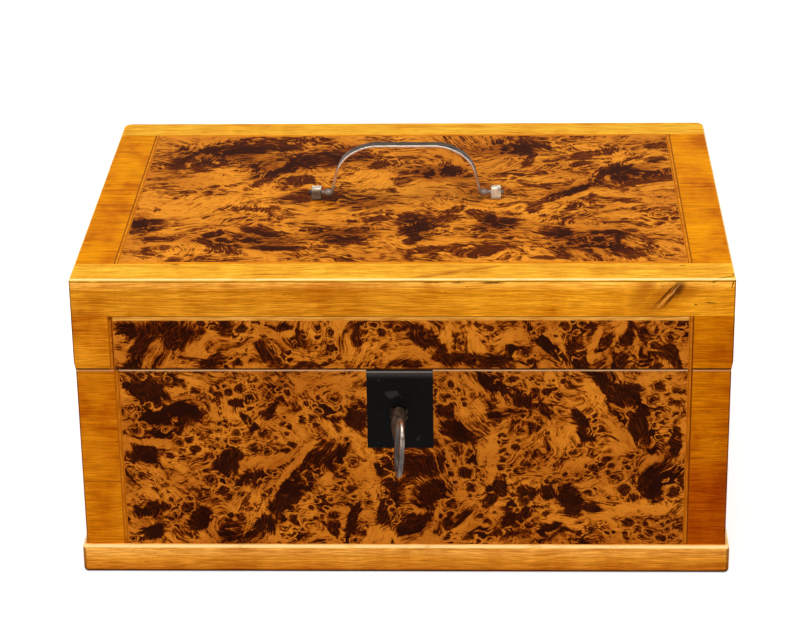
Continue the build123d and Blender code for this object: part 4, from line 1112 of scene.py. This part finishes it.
class DITTYBOX_OT_posts(bpy.types.Operator):
    """File the two square posts that hold the bail's pins, and copy one for the other side"""
    bl_idname = "ditty_box.posts"
    bl_label = "Handle Posts"

    def execute(self, context):
        (left, right), (front, back), (bottom, top) = node_span("handle_post_left")
        seat = node_span("lid_top_burl")[2][1]
        rise = top - seat
        post = block((right - left, back - front, rise), (0, 0, (top + seat) / 2))
        with editing():
            pick_faces(post, lambda middle, normal: normal.z > 0.9)
            bpy.ops.mesh.inset(thickness=POST_LAND * MM, depth=0)
        apply(post, "BEVEL", width=POST_ARRIS * MM, segments=4, limit_method="ANGLE", angle_limit=radians(40))
        shank = cylinder((right - left) / 3, bottom, seat + 0.5, (0, 0, None))
        post = forged([post, shank], "filed_post_left", voxel=0.16, dents=0.22, dent_size=2.2)
        hole = cylinder(POST_HOLE_RADIUS, -4, 4, (None, 0, PIVOT_Z))
        apply(post, "BOOLEAN", operation="DIFFERENCE", object=hole, solver="EXACT")
        bpy.data.objects.remove(hole)
        other = post.copy()
        other.data = post.data.copy()
        other.name = other.data.name = "filed_post_right"
        context.collection.objects.link(other)
        other.rotation_euler = (0, 0, pi)
        # The lower part of each post is darker, the left one more so.
        for piece, side, bare, full, film_and_painted_light in (
            (post, "left", 0.97, 0.66, paint(78, 58, 32)),
            (other, "right", 0.35, 0.0, paint(150, 128, 100)),
        ):
            node = "handle_post_" + side
            coat(piece, metal_material(
                "Post Steel " + side.title(), paint(252, 240, 214), roughness=0.4, depth=0.08, dull=0.3,
                metallic=0.25, films_and_painted_light=(("Z", seat + bare * rise, seat + full * rise, film_and_painted_light),)))
            piece.location = (sum(node_span(node)[0]) / 2 * MM, HANDLE_Y * MM, 0)
            set_down(piece)
            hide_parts(node)
            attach(piece, "lid")
        return {"FINISHED"}


# ---- key ----

KEY_X = -1.9
KEY_Z = 81.6
KEY_LEAN = radians(4)
BOW_OUT = 36.0
BOW_HALF_REACH = 11.0
BOW_HALF_HEIGHT = 14.0
BOW_TURN = radians(8)
NECK_START = 13.0
NECK_RADIUS = 1.65
BORE_RADIUS = 1.55
BORE_DEPTH = 9.5
BIT_SIZES = (1.9, 5.2, 7.9)


class DITTYBOX_OT_key(bpy.types.Operator):
    """Make the key: an oval bow, a bored stem that narrows towards it, and a bit"""
    bl_idname = "ditty_box.key"
    bl_label = "Key"

    def execute(self, context):
        sizes = context.scene.ditty_box_sizes
        front = node_span("case_front_burl")[1][0]
        inner = node_span("key")[1][1] - front
        bar, radius = sizes.bow_bar / MM, sizes.shank_radius / MM
        stem_end = BOW_OUT - BOW_HALF_REACH + bar / 2
        bow_middle = (0, -BOW_OUT * MM, 0)
        alone()
        bpy.ops.curve.primitive_bezier_circle_add(radius=MM, location=bow_middle, rotation=(0, pi / 2, 0))
        bow = bpy.context.object
        with editing("curve"):
            bpy.ops.transform.resize(
                value=(1, BOW_HALF_REACH - bar / 2, BOW_HALF_HEIGHT - bar / 2), center_override=bow_middle)
        bow.data.resolution_u = 24
        bow.data.bevel_depth = (bar / 2 - 0.05) * MM
        bow.data.bevel_resolution = 6
        bpy.ops.object.convert(target="MESH")
        bpy.ops.transform.resize(value=(0.8, 1, 1))
        bpy.ops.transform.rotate(value=-BOW_TURN, orient_axis="Z", center_override=(0, -stem_end * MM, 0))
        set_down(bow)
        stem = cylinder(radius, inner, -NECK_START, (0, None, 0), vertices=40)
        with editing():
            pick_faces(stem, lambda middle, normal: normal.y > 0.9)
            bpy.ops.mesh.inset(thickness=(radius - BORE_RADIUS) * MM, depth=0)
            pick_faces(stem, lambda middle, normal: normal.y > 0.9 and middle.xz.length < 0.1 * MM)
            pull(0, -BORE_DEPTH, 0)
            pick_faces(stem, lambda middle, normal: normal.y < -0.9)
            pull(0, NECK_START - stem_end, 0)
            bpy.ops.transform.resize(value=(NECK_RADIUS / radius,) * 3)
        apply(stem, "BEVEL", width=0.6 * MM, segments=3, limit_method="ANGLE", angle_limit=radians(60))
        bit = block(BIT_SIZES, (0, inner - BIT_SIZES[1] / 2, -BIT_SIZES[2] / 2))
        key = forged([bow, stem, bit], "filed_key", voxel=0.2, dents=0.16, dent_size=4.0)
        key.location = (KEY_X * MM, front * MM, KEY_Z * MM)
        key.rotation_euler = (0, KEY_LEAN, 0)
        set_down(key)
        # Painted shade on the bow's far half, a browner stem, and a painted reflection of the wood on the
        # key's lower part.
        coat(key, metal_material(
            "Key Iron", context.scene.ditty_box_colours.iron, order="YXZ", roughness=0.26, dull=0.3, films_and_painted_light=(
                ("Y", front - BOW_OUT - 2.0, front - BOW_OUT + 8.0, paint(66, 50, 40)),
                ("Y", front - stem_end - 1.0, front - stem_end + 4.0, paint(122, 98, 80)),
                ("Z", KEY_Z + 9.5, KEY_Z + 1.0, paint(34, 16, 8)),
            )))
        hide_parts("key")
        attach(key, "key")
        return {"FINISHED"}


# ---- stage ----

CAMERA_PLACE = (0.0401, -1.2464, 0.6207)
CAMERA_TURN = (66.75, 0.779, 1.713)
CAMERA_LENS = 123.93
FLOOR_SIZE = 8.0
FLOOR_GLOW = 0.45
STUDIO_LIGHT = 0.42
LAMP_TARGET = (0, 0, 0.08)


def lamp(name, place, size, power):
    """A square softbox that points at the box."""
    bpy.ops.object.light_add(type="AREA", location=place)
    light = bpy.context.object
    light.name = name
    light.data.size = size
    light.data.energy = power
    light.rotation_euler = (Vector(LAMP_TARGET) - Vector(place)).to_track_quat("-Z", "Y").to_euler()


class DITTYBOX_OT_stage(bpy.types.Operator):
    """Set up the floor, the soft light and the camera"""
    bl_idname = "ditty_box.stage"
    bl_label = "Stage"

    def execute(self, context):
        bpy.ops.object.camera_add(location=CAMERA_PLACE, rotation=[radians(turn) for turn in CAMERA_TURN])
        camera = context.object
        camera.data.lens = CAMERA_LENS
        camera.data.sensor_width = 36.0
        context.scene.camera = camera
        context.scene.view_settings.view_transform = "Standard"

        bpy.ops.mesh.primitive_plane_add(size=FLOOR_SIZE)
        floor = context.object
        floor.name = "Floor"
        material, bench, shader = new_material("Floor White", Roughness=0.9, Specular_IOR_Level=0.0)
        shader.inputs["Base Color"].default_value = (0.86, 0.86, 0.86, 1)
        shader.inputs["Emission Color"].default_value = (1, 1, 1, 1)
        rays = bench.add("LightPath").outputs
        seen = bench.most(rays["Is Camera Ray"], rays["Is Glossy Ray"], rays["Is Transmission Ray"])
        bench.feed(shader.inputs["Emission Strength"], bench.times(seen, FLOOR_GLOW))
        coat(floor, material)

        world = context.scene.world or bpy.data.worlds.new("Studio")
        context.scene.world = world
        world.use_nodes = True
        background = world.node_tree.nodes["Background"]
        background.inputs["Color"].default_value = (1, 1, 1, 1)
        background.inputs["Strength"].default_value = STUDIO_LIGHT

        lamp("Overhead Softbox", (0.0, -0.35, context.scene.ditty_box_sizes.lamp_height), 1.1, 16.0)
        lamp("Left Softbox", (-1.3, -1.0, 0.8), 0.9, 7.0)
        lamp("Right Softbox", (1.4, -0.9, 0.8), 0.9, 5.0)
        return {"FINISHED"}


class DITTYBOX_PT_panel(bpy.types.Panel):
    """The steps that build the finish of the box"""
    bl_label = "Ditty Box"
    bl_idname = "DITTYBOX_PT_panel"
    bl_space_type = "VIEW_3D"
    bl_region_type = "UI"
    bl_category = "Ditty Box"

    def draw(self, context):
        for step in STEPS:
            self.layout.operator(step.bl_idname)
        for settings in (context.scene.ditty_box_sizes, context.scene.ditty_box_colours):
            for name in settings.bl_rna.properties.keys():
                if name not in ("rna_type", "name"):
                    self.layout.prop(settings, name)


STEPS = (
    DITTYBOX_OT_stage,
    DITTYBOX_OT_burl,
    DITTYBOX_OT_bands,
    DITTYBOX_OT_stringing,
    DITTYBOX_OT_plinth,
    DITTYBOX_OT_carcase,
    DITTYBOX_OT_escutcheon,
    DITTYBOX_OT_fittings,
    DITTYBOX_OT_bail,
    DITTYBOX_OT_posts,
    DITTYBOX_OT_key,
)
SETTINGS = {"ditty_box_sizes": DittyBoxSizes, "ditty_box_colours": DittyBoxColours}


def register():
    for settings in SETTINGS.values():
        bpy.utils.register_class(settings)
    for name, settings in SETTINGS.items():
        setattr(bpy.types.Scene, name, bpy.props.PointerProperty(type=settings))
    for step in (*STEPS, DITTYBOX_PT_panel):
        bpy.utils.register_class(step)


def unregister():
    for step in reversed((*STEPS, DITTYBOX_PT_panel)):
        bpy.utils.unregister_class(step)
    for name, settings in SETTINGS.items():
        delattr(bpy.types.Scene, name)
        bpy.utils.unregister_class(settings)


def main():
    register()
    for step in STEPS:
        group, name = step.bl_idname.split(".")
        getattr(getattr(bpy.ops, group), name)()


if __name__ == "__main__":
    main()
